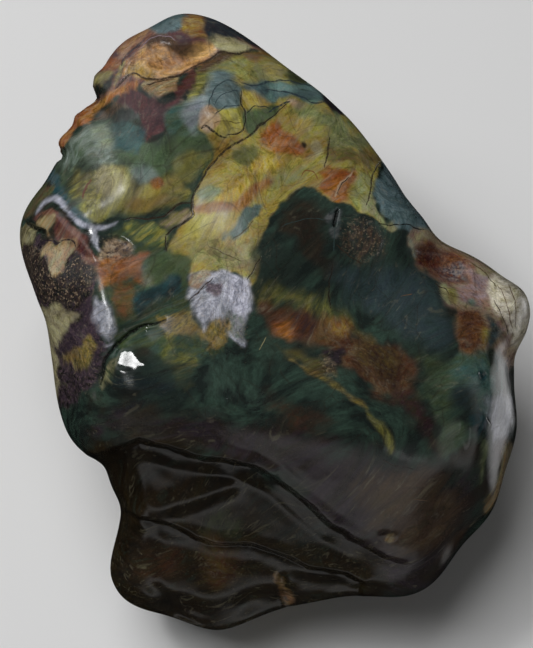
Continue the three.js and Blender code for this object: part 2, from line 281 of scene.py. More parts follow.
# Every patch: its name, two colours that are mottled together, how fine their mottling is (0 to 1),
# the softness and raggedness of its edge in pixels, its strength, and its outline.
PATCHES = [
    ("ochre field", "yellow olive", "ochre", 0.5, 2.0, 2.0, 1.0,
     [(164, 252), (170, 238), (183, 224), (191, 214), (190, 203), (193, 190), (201, 178), (208, 164),
      (206, 150), (204, 136), (198, 122), (200, 104), (206, 84), (214, 66), (230, 56), (262, 50),
      (300, 60), (335, 96), (356, 124), (384, 152), (382, 166), (374, 180), (370, 196), (374, 212),
      (392, 228), (362, 214), (345, 206), (330, 199), (316, 192), (302, 190), (285, 202), (276, 211),
      (266, 226), (254, 244), (250, 254), (256, 262), (254, 274), (248, 286), (238, 276), (222, 272),
      (206, 272), (194, 276), (182, 268), (170, 262)]),
    ("slate edge", "slate", "pale slate", 0.4, 2.5, 2.0, 1.0,
     [(380, 170), (386, 156), (396, 166), (410, 184), (424, 206), (436, 228), (424, 234), (410, 231),
      (397, 226), (386, 217), (378, 206), (372, 196), (374, 184)]),
    ("left flank dark", "black", "purple", 0.9, 3.0, 3.0, 1.0,
     [(16, 250), (20, 236), (30, 226), (38, 232), (52, 240), (72, 240), (88, 246), (98, 262), (98, 282),
      (94, 300), (100, 330), (108, 346), (104, 362), (98, 382), (80, 400), (60, 410), (44, 380),
      (38, 340), (34, 310), (24, 280)]),
    ("knob ground", "terracotta", "purple", 0.6, 2.0, 2.0, 1.0,
     [(86, 100), (86, 84), (92, 68), (106, 48), (124, 32), (142, 22), (175, 8), (215, 10), (250, 26),
      (296, 54), (262, 52), (240, 53), (222, 54), (204, 64), (186, 74), (166, 80), (150, 84), (136, 86),
      (118, 92), (100, 100)]),
    ("orange ridge", "orange brown", "orange", 0.3, 1.5, 1.0, 1.0,
     [(56, 150), (56, 140), (64, 128), (78, 112), (94, 102), (110, 92), (125, 84), (138, 80), (140, 86),
      (130, 92), (117, 97), (106, 105), (97, 114), (89, 122), (77, 130), (68, 142), (62, 151)]),
    ("ridge shade", "brown", "umber", 0.6, 3.0, 2.0, 0.95,
     [(92, 120), (98, 112), (107, 104), (118, 96), (130, 90), (139, 86), (144, 96), (134, 106),
      (124, 112), (112, 118), (102, 122)]),
    ("cheek", "grey green", "dark green", 0.4, 1.6, 1.0, 1.0,
     [(58, 160), (62, 150), (68, 141), (84, 127), (100, 119), (114, 116), (124, 112), (136, 122),
      (140, 142), (152, 142), (164, 134), (184, 125), (195, 128), (204, 134), (210, 150), (211, 160),
      (204, 172), (195, 188), (192, 203), (181, 203), (168, 212), (155, 217), (130, 219), (106, 218),
      (88, 223), (74, 213), (66, 198), (58, 190), (52, 178), (54, 168)]),
    ("maroon blotch", "maroon", "dark maroon", 0.5, 2.2, 3.0, 1.0,
     [(136, 84), (146, 91), (160, 97), (172, 95), (182, 90), (188, 80), (192, 74), (197, 77), (193, 88),
      (186, 98), (176, 105), (168, 109), (165, 117), (165, 127), (160, 135), (150, 141), (142, 144),
      (137, 140), (136, 131), (139, 123), (137, 116), (131, 110), (122, 106), (116, 104), (118, 97),
      (128, 91)]),
    ("lower left green", "belly green", "moss", 0.6, 5.0, 4.0, 1.0,
     [(96, 262), (100, 240), (120, 226), (150, 222), (176, 232), (168, 250), (182, 264), (192, 280),
      (190, 306), (204, 324), (222, 334), (226, 352), (190, 362), (150, 356), (118, 350), (108, 340),
      (98, 320), (94, 290)]),
    ("nose", "pink", "khaki", 0.5, 4.0, 3.0, 1.0,
     [(412, 234), (436, 232), (460, 240), (500, 262), (532, 292), (536, 310), (524, 342), (516, 368),
      (505, 362), (498, 346), (490, 350), (474, 354), (462, 350), (458, 330), (456, 308), (446, 302),
      (442, 286), (432, 274), (418, 266), (412, 254)]),
    ("underside", "umber", "dark purple", 0.3, 16.0, 8.0, 1.0,
     [(90, 440), (120, 410), (170, 404), (230, 420), (290, 430), (340, 444), (390, 462), (440, 476),
      (480, 470), (480, 520), (440, 580), (380, 600), (350, 590), (320, 530), (280, 480), (220, 458),
      (150, 440)]),
    ("underside warm", "brown", "olive brown", 0.5, 18.0, 6.0, 0.6,
     [(370, 486), (400, 476), (440, 482), (462, 504), (452, 540), (420, 552), (388, 536), (370, 512)]),
    ("lobe", "bark", "bronze", 0.5, 6.0, 4.0, 1.0,
     [(84, 446), (130, 440), (170, 442), (230, 462), (280, 490), (330, 530), (380, 560), (380, 610),
      (280, 640), (190, 640), (100, 600), (90, 520)]),
    ("right flank green", "grey green", "teal", 0.5, 6.0, 4.0, 0.9,
     [(462, 352), (476, 350), (490, 350), (500, 360), (502, 380), (496, 396), (490, 410), (482, 416),
      (470, 410), (460, 420), (462, 440), (450, 456), (438, 446), (432, 424), (430, 400), (440, 380),
      (452, 366)]),
    ("neck green", "grey green", "teal", 0.5, 3.0, 1.5, 1.0,
     [(164, 118), (170, 110), (178, 105), (188, 100), (199, 96), (203, 106), (199, 120), (197, 132),
      (188, 136), (174, 134), (162, 138), (163, 128)]),
    ("neck olive", "yellow olive", "moss", 0.5, 2.0, 1.0, 1.0,
     [(195, 72), (200, 67), (208, 66), (209, 76), (204, 86), (200, 96), (192, 100), (188, 95), (195, 84)]),
    ("neck maroon", "maroon", "dark rust", 0.5, 2.0, 1.0, 1.0,
     [(174, 92), (181, 81), (188, 73), (193, 70), (197, 74), (195, 83), (190, 91), (184, 97), (176, 98)]),
    ("branch beige", "yellow olive", "pink beige", 0.8, 3.0, 2.0, 0.85,
     [(158, 224), (166, 216), (176, 209), (190, 206), (191, 214), (184, 221), (172, 227), (163, 229)]),
    ("nest green", "leaf green", "yellow olive", 0.9, 3.0, 2.0, 0.9,
     [(124, 222), (140, 221), (156, 221), (166, 230), (168, 242), (160, 250), (148, 249), (138, 242),
      (128, 234)]),
    ("neck edge", "brown", "olive brown", 0.5, 2.5, 1.0, 1.0,
     [(196, 72), (206, 61), (216, 54), (228, 50), (238, 53), (230, 60), (216, 66), (206, 72)]),
    # The knob
    ("knob slate", "pale slate", "slate", 0.2, 2.0, 1.0, 1.0,
     [(150, 26), (158, 16), (170, 10), (184, 12), (188, 20), (182, 28), (172, 33), (160, 35), (153, 31)]),
    ("knob top orange", "ochre", "rust", 0.6, 2.0, 2.0, 1.0,
     [(178, 29), (184, 20), (190, 12), (204, 14), (208, 24), (212, 32), (206, 37), (196, 37), (184, 35)]),
    ("knob dark rim", "dark purple", "dark slate", 0.4, 2.5, 2.0, 1.0,
     [(204, 14), (220, 14), (246, 26), (270, 38), (298, 58), (284, 58), (266, 52), (250, 45), (234, 38),
      (218, 36), (209, 32), (205, 24)]),
    ("knob purple arc", "purple", "maroon", 0.5, 1.6, 1.2, 1.0,
     [(166, 33), (176, 31), (190, 35), (206, 38), (212, 39), (207, 44), (196, 42), (186, 45), (177, 43),
      (170, 38)]),
    ("hollow", "peach", "tan", 0.7, 2.0, 1.5, 1.0,
     [(124, 74), (127, 66), (134, 57), (139, 51), (147, 46), (156, 43), (168, 45), (176, 49), (188, 46),
      (198, 42), (208, 42), (217, 46), (219, 51), (212, 57), (202, 63), (190, 69), (178, 74), (165, 77),
      (150, 78), (138, 76), (130, 74)]),
    ("hollow brown", "dark brown", "brown", 0.6, 2.0, 1.0, 0.9,
     [(145, 46), (150, 39), (160, 35), (170, 37), (178, 44), (190, 43), (193, 49), (186, 56), (177, 53),
      (168, 47), (156, 46), (148, 50)]),
    ("hollow olive", "ochre", "olive", 0.5, 3.0, 1.5, 0.6,
     [(128, 74), (134, 66), (146, 66), (156, 72), (152, 78), (138, 76)]),
    ("knob cream lens", "khaki", "cream", 0.5, 1.4, 1.0, 1.0,
     [(209, 39), (218, 36), (232, 39), (244, 43), (253, 48), (248, 51), (237, 55), (228, 54), (220, 49),
      (215, 44)]),
    ("knob left orange", "rust", "orange", 0.6, 2.0, 1.5, 0.95,
     [(96, 70), (104, 58), (113, 55), (120, 60), (118, 66), (110, 69), (102, 70)]),
    ("knob left pink", "terracotta", "tan", 0.6, 2.0, 1.5, 0.9,
     [(119, 58), (121, 48), (130, 36), (140, 28), (148, 27), (147, 33), (139, 40), (131, 47), (125, 57)]),
    ("knob left green", "yellow olive", "khaki", 0.6, 1.8, 1.5, 1.0,
     [(88, 84), (94, 72), (106, 68), (115, 70), (111, 76), (102, 83)]),
    ("knob left black", "black", "dark green", 0.5, 2.0, 1.5, 1.0,
     [(86, 102), (88, 88), (101, 83), (110, 76), (115, 71), (115, 80), (112, 88), (102, 96)]),
    ("knob left stripe", "yellow olive", "khaki", 0.5, 1.5, 1.0, 0.95,
     [(114, 87), (116, 76), (120, 66), (124, 62), (123, 72), (121, 81)]),
    ("neck lens", "tan", "khaki", 0.5, 1.8, 1.2, 1.0,
     [(143, 83), (152, 81), (165, 79), (178, 78), (175, 87), (168, 94), (160, 96), (150, 92), (146, 88)]),
    # The cheek
    ("cheek green", "grey green", "leaf green", 0.5, 5.0, 4.0, 0.9,
     [(118, 152), (134, 150), (150, 146), (166, 140), (184, 134), (200, 136), (209, 148), (208, 160),
      (200, 172), (188, 176), (172, 174), (158, 174), (146, 164), (130, 164), (118, 160)]),
    ("cheek olive", "yellow olive", "olive", 0.5, 5.0, 4.0, 0.95,
     [(72, 172), (84, 166), (96, 168), (110, 166), (124, 168), (134, 172), (140, 182), (148, 184),
      (160, 178), (172, 177), (184, 182), (190, 190), (190, 200), (180, 204), (166, 210), (150, 214),
      (130, 215), (110, 214), (92, 218), (80, 210), (74, 196), (70, 184)]),
    ("cheek teal", "deep teal", "teal", 0.4, 3.0, 3.0, 0.9,
     [(116, 118), (130, 112), (137, 124), (139, 137), (136, 147), (128, 153), (118, 149), (114, 136)]),
    ("cheek edge", "deep teal", "slate", 0.4, 2.5, 2.0, 0.95,
     [(50, 170), (60, 176), (64, 190), (70, 200), (78, 212), (88, 222), (80, 228), (71, 217), (61, 202),
      (52, 190), (46, 180)]),
    ("black spot", "green black", "dark green", 0.4, 2.0, 2.0, 0.95,
     [(114, 112), (120, 107), (131, 107), (138, 112), (136, 119), (126, 121), (116, 124), (112, 118)]),
    ("veil", "veil", "grey green", 0.4, 7.0, 3.0, 0.85,
     [(64, 152), (74, 140), (87, 129), (102, 123), (113, 128), (114, 142), (112, 152), (118, 160),
      (108, 163), (96, 164), (84, 162), (76, 164), (68, 170), (62, 162)]),
    ("cheek cream", "cream", "khaki", 0.6, 6.0, 3.0, 0.65,
     [(92, 172), (104, 168), (116, 170), (126, 176), (128, 184), (120, 192), (110, 190), (100, 186),
      (92, 182)]),
    ("cheek brown", "olive brown", "ochre", 0.5, 4.0, 3.0, 0.8,
     [(124, 208), (132, 198), (150, 192), (166, 194), (180, 196), (177, 202), (160, 207), (140, 211)]),
    ("cheek pale teal", "pale teal", "veil", 0.4, 5.0, 3.0, 0.6,
     [(134, 170), (144, 165), (154, 170), (152, 178), (144, 183), (136, 178)]),
    ("cheek gold", "ochre", "yellow olive", 0.5, 3.0, 3.0, 0.85,
     [(136, 196), (146, 188), (158, 184), (170, 180), (184, 184), (190, 192), (178, 194), (160, 192),
      (146, 197)]),
    ("cheek rust dot", "orange", "rust", 0.5, 2.0, 1.5, 0.9,
     [(151, 181), (157, 177), (162, 183), (158, 188), (152, 187)]),
    ("cheek spot", "pale green", "veil", 0.4, 4.0, 3.0, 0.7,
     [(94, 130), (106, 126), (113, 134), (111, 144), (102, 146), (94, 140)]),
    ("cheek right", "leaf green", "yellow olive", 0.5, 4.0, 3.0, 0.7,
     [(178, 160), (192, 154), (204, 158), (202, 170), (194, 182), (186, 182), (180, 174), (176, 166)]),
    # The fan and the upper band
    ("upper band", "pale green", "yellow olive", 0.4, 3.0, 2.5, 0.9,
     [(207, 78), (212, 67), (228, 59), (242, 58), (262, 60), (280, 60), (294, 66), (304, 78), (304, 85),
      (286, 83), (270, 82), (256, 84), (246, 82), (238, 76), (226, 70), (216, 72), (209, 82)]),
    ("rust edge", "brown", "rust", 0.6, 3.0, 2.5, 0.85,
     [(236, 55), (252, 51), (270, 52), (290, 58), (300, 66), (284, 63), (268, 60), (252, 59), (240, 59)]),
    ("upper yellow", "yellow", "khaki", 0.5, 3.0, 2.0, 0.85,
     [(260, 65), (270, 62), (282, 63), (288, 68), (278, 74), (268, 74), (262, 71)]),
    ("right mottle", "moss", "dark green", 0.8, 3.0, 3.0, 0.9,
     [(288, 66), (300, 70), (314, 80), (322, 88), (308, 90), (296, 86), (290, 76)]),
    ("fan", "slate", "pale slate", 0.6, 3.0, 2.0, 0.95,
     [(199, 110), (203, 96), (206, 84), (209, 75), (216, 71), (226, 72), (233, 78), (240, 86), (241, 97),
      (241, 108), (232, 110), (222, 112), (214, 108), (207, 108)]),
    ("fan yellow", "yellow", "yellow olive", 0.4, 2.0, 1.5, 1.0,
     [(214, 114), (226, 110), (241, 108), (244, 118), (241, 127), (232, 133), (224, 137), (216, 131),
      (212, 122)]),
    ("fan beige", "pink beige", "tan", 0.6, 2.0, 1.5, 0.95,
     [(203, 113), (210, 107), (217, 112), (216, 122), (210, 129), (203, 124)]),
    ("yellow wedge", "ochre", "yellow", 0.5, 2.0, 1.5, 0.95,
     [(241, 90), (248, 91), (256, 97), (268, 106), (262, 109), (250, 107), (244, 109), (242, 100)]),
    ("green cell", "leaf green", "grey green", 0.6, 2.5, 2.0, 0.95,
     [(245, 113), (256, 106), (268, 108), (278, 107), (272, 117), (262, 125), (252, 133), (245, 126)]),
    ("teal band", "slate", "pale teal", 0.3, 2.2, 2.0, 1.0,
     [(250, 85), (272, 82), (292, 83), (312, 86), (328, 92), (330, 100), (313, 104), (297, 99),
      (282, 101), (272, 103), (263, 96), (254, 90)]),
    ("blue knot", "dark slate", "slate", 0.4, 2.5, 2.0, 0.9,
     [(240, 84), (248, 81), (259, 84), (267, 92), (262, 95), (252, 89), (244, 88)]),
    ("band beige", "pink beige", "tan", 0.6, 1.5, 1.5, 0.9,
     [(285, 101), (294, 101), (304, 106), (298, 109), (290, 106)]),
    ("edge purple", "dark purple", "black", 0.6, 2.5, 2.0, 1.0,
     [(324, 92), (334, 90), (344, 104), (346, 114), (334, 115), (327, 107), (324, 99)]),
    ("right green", "leaf green", "pale green", 0.7, 5.0, 4.0, 0.8,
     [(294, 108), (312, 105), (326, 110), (340, 116), (352, 128), (364, 140), (372, 150), (356, 150),
      (342, 150), (331, 148), (326, 137), (316, 129), (306, 122), (297, 116)]),
    # The ochre field
    ("field rust", "rust", "orange", 0.5, 4.0, 2.0, 0.95,
     [(268, 128), (276, 125), (286, 131), (297, 138), (304, 146), (305, 157), (296, 159), (284, 155),
      (271, 150), (263, 144), (261, 136)]),
    ("field gold", "gold", "yellow", 0.4, 5.0, 2.0, 0.95,
     [(246, 165), (256, 158), (268, 155), (281, 157), (284, 165), (273, 171), (262, 172), (251, 171)]),
    ("field green mottle", "moss", "leaf green", 0.9, 3.0, 3.0, 0.75,
     [(235, 151), (246, 144), (257, 145), (259, 154), (250, 161), (239, 159)]),
    ("field teal small", "pale teal", "leaf green", 0.5, 4.0, 3.0, 0.7,
     [(195, 189), (206, 184), (218, 185), (223, 192), (213, 199), (200, 201), (195, 196)]),
    ("field yellow left", "yellow", "gold", 0.5, 5.0, 4.0, 0.8,
     [(222, 201), (231, 190), (242, 182), (252, 186), (243, 197), (232, 203)]),
    ("field yellow low", "yellow", "yellow olive", 0.5, 5.0, 4.0, 0.85,
     [(188, 224), (200, 214), (216, 213), (228, 216), (222, 227), (210, 238), (196, 244), (184, 240)]),
    ("field green band", "pale green", "yellow olive", 0.6, 5.0, 4.0, 0.7,
     [(262, 177), (276, 168), (290, 163), (308, 166), (303, 177), (290, 185), (276, 191), (265, 189)]),
    ("rust streak", "rust", "orange brown", 0.5, 3.0, 1.5, 0.95,
     [(191, 204), (202, 203), (214, 204), (228, 203), (240, 198), (250, 190), (258, 183), (268, 176),
      (275, 179), (265, 190), (254, 200), (244, 207), (230, 211), (212, 212), (196, 211)]),
    ("slate lens", "slate", "teal", 0.4, 2.5, 2.5, 0.9,
     [(223, 237), (227, 229), (236, 220), (246, 212), (257, 205), (263, 206), (258, 213), (250, 221),
      (240, 229), (232, 237), (226, 241)]),
    ("field pale low", "pale green", "khaki", 0.5, 6.0, 5.0, 0.7,
     [(196, 246), (212, 242), (228, 244), (244, 250), (250, 262), (240, 272), (222, 268), (204, 266),
      (194, 258)]),
    ("rust right", "rust", "orange", 0.5, 3.0, 3.0, 0.95,
     [(314, 172), (324, 166), (338, 165), (351, 169), (355, 178), (351, 190), (350, 200), (342, 206),
      (333, 200), (325, 194), (316, 189), (320, 181)]),
    ("mottle brown", "olive", "brown", 0.9, 4.0, 4.0, 0.75,
     [(327, 144), (340, 150), (354, 152), (368, 152), (380, 158), (371, 165), (356, 165), (342, 163),
      (330, 160), (325, 152)]),
    ("pale right", "yellow olive", "pale green", 0.5, 3.0, 2.5, 0.95,
     [(352, 176), (362, 173), (370, 180), (371, 192), (366, 204), (358, 209), (350, 204), (348, 194),
      (352, 186)]),
    ("pale wedge", "pale green", "khaki", 0.6, 2.5, 2.5, 0.95,
     [(361, 205), (369, 197), (378, 205), (386, 217), (394, 227), (384, 228), (374, 219), (365, 213)]),
    ("cream spot", "cream", "khaki", 0.5, 2.0, 1.5, 0.9,
     [(310, 143), (317, 140), (322, 148), (317, 154), (311, 149)]),
    ("dark dot", "dark brown", "black", 0.5, 1.2, 0.8, 0.95,
     [(301, 143), (304, 141), (307, 144), (305, 148), (302, 147)]),
    # The left flank
    ("flank olive", "khaki", "olive", 0.6, 2.5, 2.0, 0.95,
     [(14, 250), (18, 230), (27, 225), (37, 230), (34, 240), (28, 247)]),
    ("flank top", "leaf green", "brown", 0.7, 3.0, 3.0, 0.95,
     [(18, 220), (26, 200), (40, 184), (52, 186), (54, 194), (44, 202), (36, 210), (30, 222)]),
    ("flank grains", "black", "dark brown", 1.0, 3.0, 4.0, 0.9,
     [(20, 254), (28, 246), (36, 246), (40, 254), (48, 262), (50, 271), (58, 274), (66, 267), (72, 256),
      (80, 252), (88, 262), (93, 274), (92, 286), (84, 295), (78, 303), (68, 307), (56, 305), (46, 303),
      (38, 297), (31, 285), (25, 271)]),
    ("maroon band", "maroon", "terracotta", 0.5, 2.0, 1.5, 0.95,
     [(30, 220), (40, 211), (50, 208), (59, 212), (67, 222), (77, 232), (87, 238), (89, 248), (98, 258),
      (107, 263), (98, 267), (86, 261), (78, 253), (70, 244), (60, 241), (51, 231), (53, 222), (49, 215),
      (42, 216), (36, 223)]),
    # Painted highlight: a pale lilac band along the cheek's lower edge, and a drip below it, stand in for
    # the window mirrored in the groove there.
    ("cheek rim", "lilac", "quartz", 0.3, 1.8, 0.3, 0.9,
     [(35, 214), (40, 205), (47, 199), (57, 195), (64, 201), (71, 212), (80, 220), (92, 225), (106, 225),
      (118, 221), (112, 227), (98, 231), (86, 229), (74, 222), (64, 211), (56, 202), (47, 204), (40, 211)]),
    ("rim drip", "quartz", "lilac", 0.3, 1.6, 0.5, 0.8,
     [(90, 232), (95, 231), (98, 238), (99, 247), (103, 253), (97, 250), (91, 243)]),
    # Painted highlight: a soft pale lilac patch where the window is mirrored on the neck.
    ("neck veil", "lilac", "veil", 0.4, 5.0, 2.0, 0.65,
     [(186, 112), (196, 100), (204, 94), (203, 106), (199, 118), (194, 127), (189, 122)]),
    ("eye small", "khaki", "tan", 0.6, 1.5, 1.5, 0.9,
     [(35, 223), (44, 216), (54, 214), (56, 222), (50, 229), (50, 237), (46, 237), (46, 231), (40, 227)]),
    ("eye", "khaki", "tan", 0.7, 1.8, 2.5, 0.95,
     [(37, 249), (43, 241), (50, 240), (56, 244), (63, 241), (72, 241), (77, 247), (73, 254), (67, 259),
      (63, 269), (56, 272), (50, 269), (49, 260), (44, 256), (38, 254)]),
    ("flank cream", "khaki", "cream", 0.4, 3.0, 2.5, 0.95,
     [(42, 304), (52, 303), (64, 307), (76, 312), (76, 321), (68, 329), (62, 339), (60, 352), (58, 370),
      (57, 392), (58, 402), (50, 396), (46, 372), (42, 350), (38, 332), (36, 316)]),
    ("flank purple", "dark purple", "purple", 0.5, 3.0, 3.0, 0.95,
     [(76, 306), (84, 300), (92, 306), (96, 318), (98, 330), (101, 342), (106, 350), (100, 361),
      (94, 373), (88, 381), (76, 373), (64, 367), (60, 350), (62, 338), (70, 327), (77, 317)]),
    ("flank blotch", "olive", "ochre", 0.6, 4.0, 3.0, 0.85,
     [(67, 353), (76, 344), (86, 341), (95, 346), (94, 357), (86, 367), (76, 369), (68, 363)]),
    # Partly lilac stone, partly a painted highlight: its pale quartz speckle stands in for the window
    # mirrored on the left flank's edge.
    ("flank lilac and highlight", "lilac", "quartz", 0.9, 4.0, 3.0, 0.85,
     [(94, 300), (104, 304), (112, 316), (117, 331), (114, 341), (107, 347), (100, 339), (96, 325),
      (93, 312)]),
    ("crystal nest", "brown", "pink beige", 1.0, 3.0, 3.0, 0.85,
     [(100, 241), (112, 236), (125, 240), (135, 248), (129, 257), (116, 261), (104, 259), (99, 250)]),
    ("orange blotch", "rust", "orange", 0.5, 3.0, 3.0, 0.95,
     [(94, 288), (96, 274), (104, 264), (116, 262), (128, 259), (137, 253), (147, 249), (151, 256),
      (147, 263), (147, 273), (151, 285), (142, 283), (132, 277), (122, 277), (112, 281), (104, 289),
      (98, 293)]),
    ("orange olive", "olive", "rust", 0.5, 4.0, 4.0, 0.9,
     [(106, 289), (116, 280), (128, 280), (135, 290), (135, 302), (129, 315), (120, 317), (112, 305)]),
    ("green blob", "leaf green", "moss", 0.5, 4.0, 4.0, 0.9,
     [(142, 268), (148, 255), (160, 250), (173, 251), (183, 258), (186, 271), (185, 284), (178, 295),
      (168, 299), (156, 297), (146, 291), (142, 280)]),
    ("teal belt", "deep teal", "blue black", 0.4, 4.0, 3.0, 0.95,
     [(136, 298), (148, 290), (158, 284), (170, 281), (181, 284), (179, 295), (166, 301), (152, 307),
      (142, 313), (136, 307)]),
    ("olive under quartz", "olive brown", "ochre", 0.6, 4.0, 4.0, 0.85,
     [(158, 322), (178, 317), (194, 317), (206, 329), (222, 333), (228, 343), (216, 346), (198, 339),
      (182, 335), (168, 331)]),
    # Partly pale quartz, partly a painted highlight: the speckled white stands in for the window's soft
    # reflection, brightest in the next patch.
    ("quartz and highlight", "lilac", "quartz", 0.9, 3.0, 2.0, 0.9,
     [(189, 279), (198, 271), (210, 271), (222, 271), (233, 277), (245, 280), (249, 289), (249, 303),
      (247, 317), (247, 331), (245, 347), (238, 345), (230, 337), (222, 327), (212, 322), (204, 331),
      (199, 322), (195, 312), (189, 304), (187, 294), (191, 286)]),
    ("quartz white", "quartz", "lilac", 0.9, 4.0, 1.5, 0.95,
     [(218, 284), (230, 277), (243, 280), (249, 290), (249, 306), (245, 316), (236, 318), (228, 306),
      (222, 300), (214, 292)]),
    ("quartz low", "grey", "grey green", 0.9, 3.0, 1.5, 0.85,
     [(228, 310), (238, 316), (246, 322), (247, 338), (240, 341), (230, 332), (224, 322)]),
    ("quartz wedge", "ochre", "olive", 0.7, 3.0, 3.0, 0.85,
     [(206, 334), (212, 322), (222, 316), (228, 326), (230, 336), (222, 344), (210, 342)]),
    ("quartz tan", "tan", "khaki", 0.8, 2.5, 2.5, 0.8,
     [(188, 284), (196, 272), (208, 271), (204, 284), (194, 292)]),
    ("quartz maroon", "purple", "mauve", 0.8, 2.5, 2.5, 0.9,
     [(205, 283), (214, 280), (223, 284), (223, 292), (214, 295), (206, 291)]),
    # The middle and the belly
    ("mushroom brown", "dark brown", "umber", 0.6, 9.0, 4.0, 0.85,
     [(296, 200), (312, 196), (328, 200), (326, 222), (330, 246), (336, 262), (322, 272), (306, 264),
      (296, 246), (284, 236), (280, 222)]),
    ("mushroom green", "dark green", "green black", 0.5, 9.0, 4.0, 0.8,
     [(254, 252), (270, 242), (288, 246), (298, 262), (304, 282), (290, 294), (270, 290), (258, 276)]),
    ("middle blue", "dim teal", "dark slate", 0.5, 12.0, 4.8, 0.9,
     [(338, 262), (360, 266), (384, 262), (410, 262), (428, 274), (442, 292), (450, 312), (452, 336),
      (440, 352), (420, 346), (398, 336), (380, 326), (362, 312), (348, 300), (338, 282)]),
    ("bruise", "green black", "brown", 1.0, 7.5, 4.0, 0.75,
     [(345, 222), (356, 217), (369, 221), (379, 228), (385, 238), (382, 250), (374, 258), (364, 261),
      (352, 257), (345, 248), (342, 236)]),
    ("slit rim", "grey", "dark slate", 0.9, 2.0, 1.5, 0.55,
     [(326, 217), (331, 208), (337, 204), (341, 212), (340, 226), (338, 238), (332, 235), (328, 227)]),
    ("moss band", "moss", "yellow olive", 0.5, 9.0, 3.2, 0.75,
     [(252, 296), (264, 284), (280, 286), (300, 291), (320, 297), (330, 306), (329, 315), (322, 321),
      (310, 315), (296, 309), (280, 305), (264, 305)]),
    ("moss second", "moss", "olive", 0.5, 7.5, 3.2, 0.85,
     [(331, 309), (345, 309), (358, 319), (362, 332), (372, 340), (360, 342), (346, 330), (334, 320)]),
    ("rust band", "dark rust", "brown", 0.6, 7.5, 4.0, 0.95,
     [(259, 304), (269, 301), (283, 306), (301, 314), (316, 315), (329, 320), (342, 322), (352, 328),
      (358, 335), (372, 342), (386, 346), (400, 350), (412, 358), (420, 368), (421, 380), (414, 388),
      (408, 398), (398, 402), (386, 396), (376, 398), (368, 390), (362, 380), (352, 372), (338, 362),
      (320, 352), (304, 346), (292, 346), (280, 341), (270, 338), (265, 328), (261, 316)]),
    ("rust bright", "rust", "orange", 0.7, 6.0, 3.2, 0.85,
     [(276, 322), (288, 320), (298, 326), (300, 336), (292, 343), (280, 340), (275, 332)]),
    ("rust gold", "ochre", "rust", 0.5, 6.0, 2.4, 0.85,
     [(330, 322), (340, 319), (351, 325), (352, 333), (342, 336), (332, 331)]),
    ("rust dark", "dark purple", "dark rust", 0.7, 7.5, 3.2, 0.85,
     [(292, 314), (303, 314), (313, 324), (312, 338), (304, 344), (298, 334), (294, 324)]),
    ("belly brown", "dark brown", "olive brown", 0.7, 10.5, 4.0, 0.9,
     [(356, 344), (372, 344), (390, 350), (400, 360), (400, 376), (388, 384), (374, 376), (362, 362)]),
    ("purple spot", "dark purple", "black", 0.5, 3.0, 3.0, 0.95,
     [(318, 349), (326, 345), (336, 346), (347, 350), (345, 357), (337, 363), (328, 361), (321, 357)]),
    ("purple crystals", "pink beige", "dark purple", 1.0, 2.5, 2.5, 0.7,
     [(320, 358), (328, 360), (334, 368), (334, 376), (328, 376), (323, 368)]),
    ("low olive", "olive", "olive brown", 0.6, 6.0, 2.4, 0.9,
     [(270, 344), (284, 348), (298, 352), (310, 353), (321, 359), (330, 369), (336, 380), (324, 378),
      (308, 371), (294, 363), (280, 355)]),
    ("yellow line", "ochre", "olive brown", 0.6, 2.5, 1.5, 0.75,
     [(288, 361), (300, 365), (314, 373), (328, 380), (340, 386), (350, 393), (362, 402), (372, 410),
      (366, 411), (356, 405), (346, 398), (336, 391), (324, 384), (310, 376), (298, 369)]),
    ("yellow hook", "yellow olive", "olive", 0.6, 3.0, 1.5, 0.8,
     [(365, 411), (374, 417), (383, 424), (390, 432), (395, 442), (396, 451), (391, 454), (386, 446),
      (380, 438), (373, 430), (367, 421)]),
    ("maroon belt", "dark maroon", "dark brown", 0.6, 7.5, 3.2, 0.95,
     [(392, 386), (404, 390), (413, 397), (423, 404), (431, 416), (439, 432), (446, 447), (441, 453),
      (430, 447), (421, 437), (411, 423), (403, 409), (395, 398)]),
    ("right moss", "moss", "grey green", 0.6, 10.5, 4.8, 0.8,
     [(414, 352), (430, 356), (446, 362), (458, 376), (458, 396), (452, 412), (438, 410), (428, 398),
      (424, 380), (418, 366)]),
    ("belly rust dark", "dark brown", "dark rust", 0.6, 10.5, 4.8, 0.7,
     [(266, 408), (284, 402), (304, 408), (324, 414), (336, 424), (322, 430), (300, 424), (280, 418)]),
    ("belly left black", "black", "blue black", 0.3, 15.0, 4.0, 0.95,
     [(112, 372), (130, 362), (150, 368), (176, 376), (190, 392), (180, 404), (150, 404), (122, 402),
      (110, 390)]),
    ("belly specks", "moss", "yellow olive", 0.9, 7.5, 4.0, 0.45,
     [(168, 348), (180, 348), (190, 362), (188, 378), (196, 388), (184, 392), (174, 378), (168, 364)]),
    ("crack flecks", "khaki", "moss", 1.0, 3.0, 2.0, 0.75,
     [(118, 350), (124, 346), (118, 360), (112, 370), (107, 382), (103, 390), (102, 382), (108, 366)]),
    # The right side
    ("nose hollow", "red brown", "rust", 0.8, 4.5, 2.0, 1.0,
     [(414, 248), (424, 244), (436, 246), (448, 248), (460, 253), (471, 260), (476, 266), (471, 273),
      (466, 278), (459, 282), (452, 286), (445, 285), (439, 279), (433, 273), (424, 268), (417, 262)]),
    ("hollow crystals", "grey", "red brown", 1.0, 3.0, 3.0, 0.75,
     [(438, 268), (450, 264), (462, 266), (464, 274), (456, 281), (447, 282), (440, 276)]),
    ("hollow orange", "orange", "red brown", 0.7, 4.5, 2.0, 0.8,
     [(440, 256), (447, 253), (451, 260), (449, 267), (442, 265)]),
    # Painted highlight: the pale khaki rim at the nose hollow's left edge, where the window is mirrored.
    ("hollow rim", "khaki", "veil", 0.6, 2.2, 0.8, 0.95,
     [(408, 236), (412, 239), (415, 247), (416, 257), (412, 254), (410, 245)]),
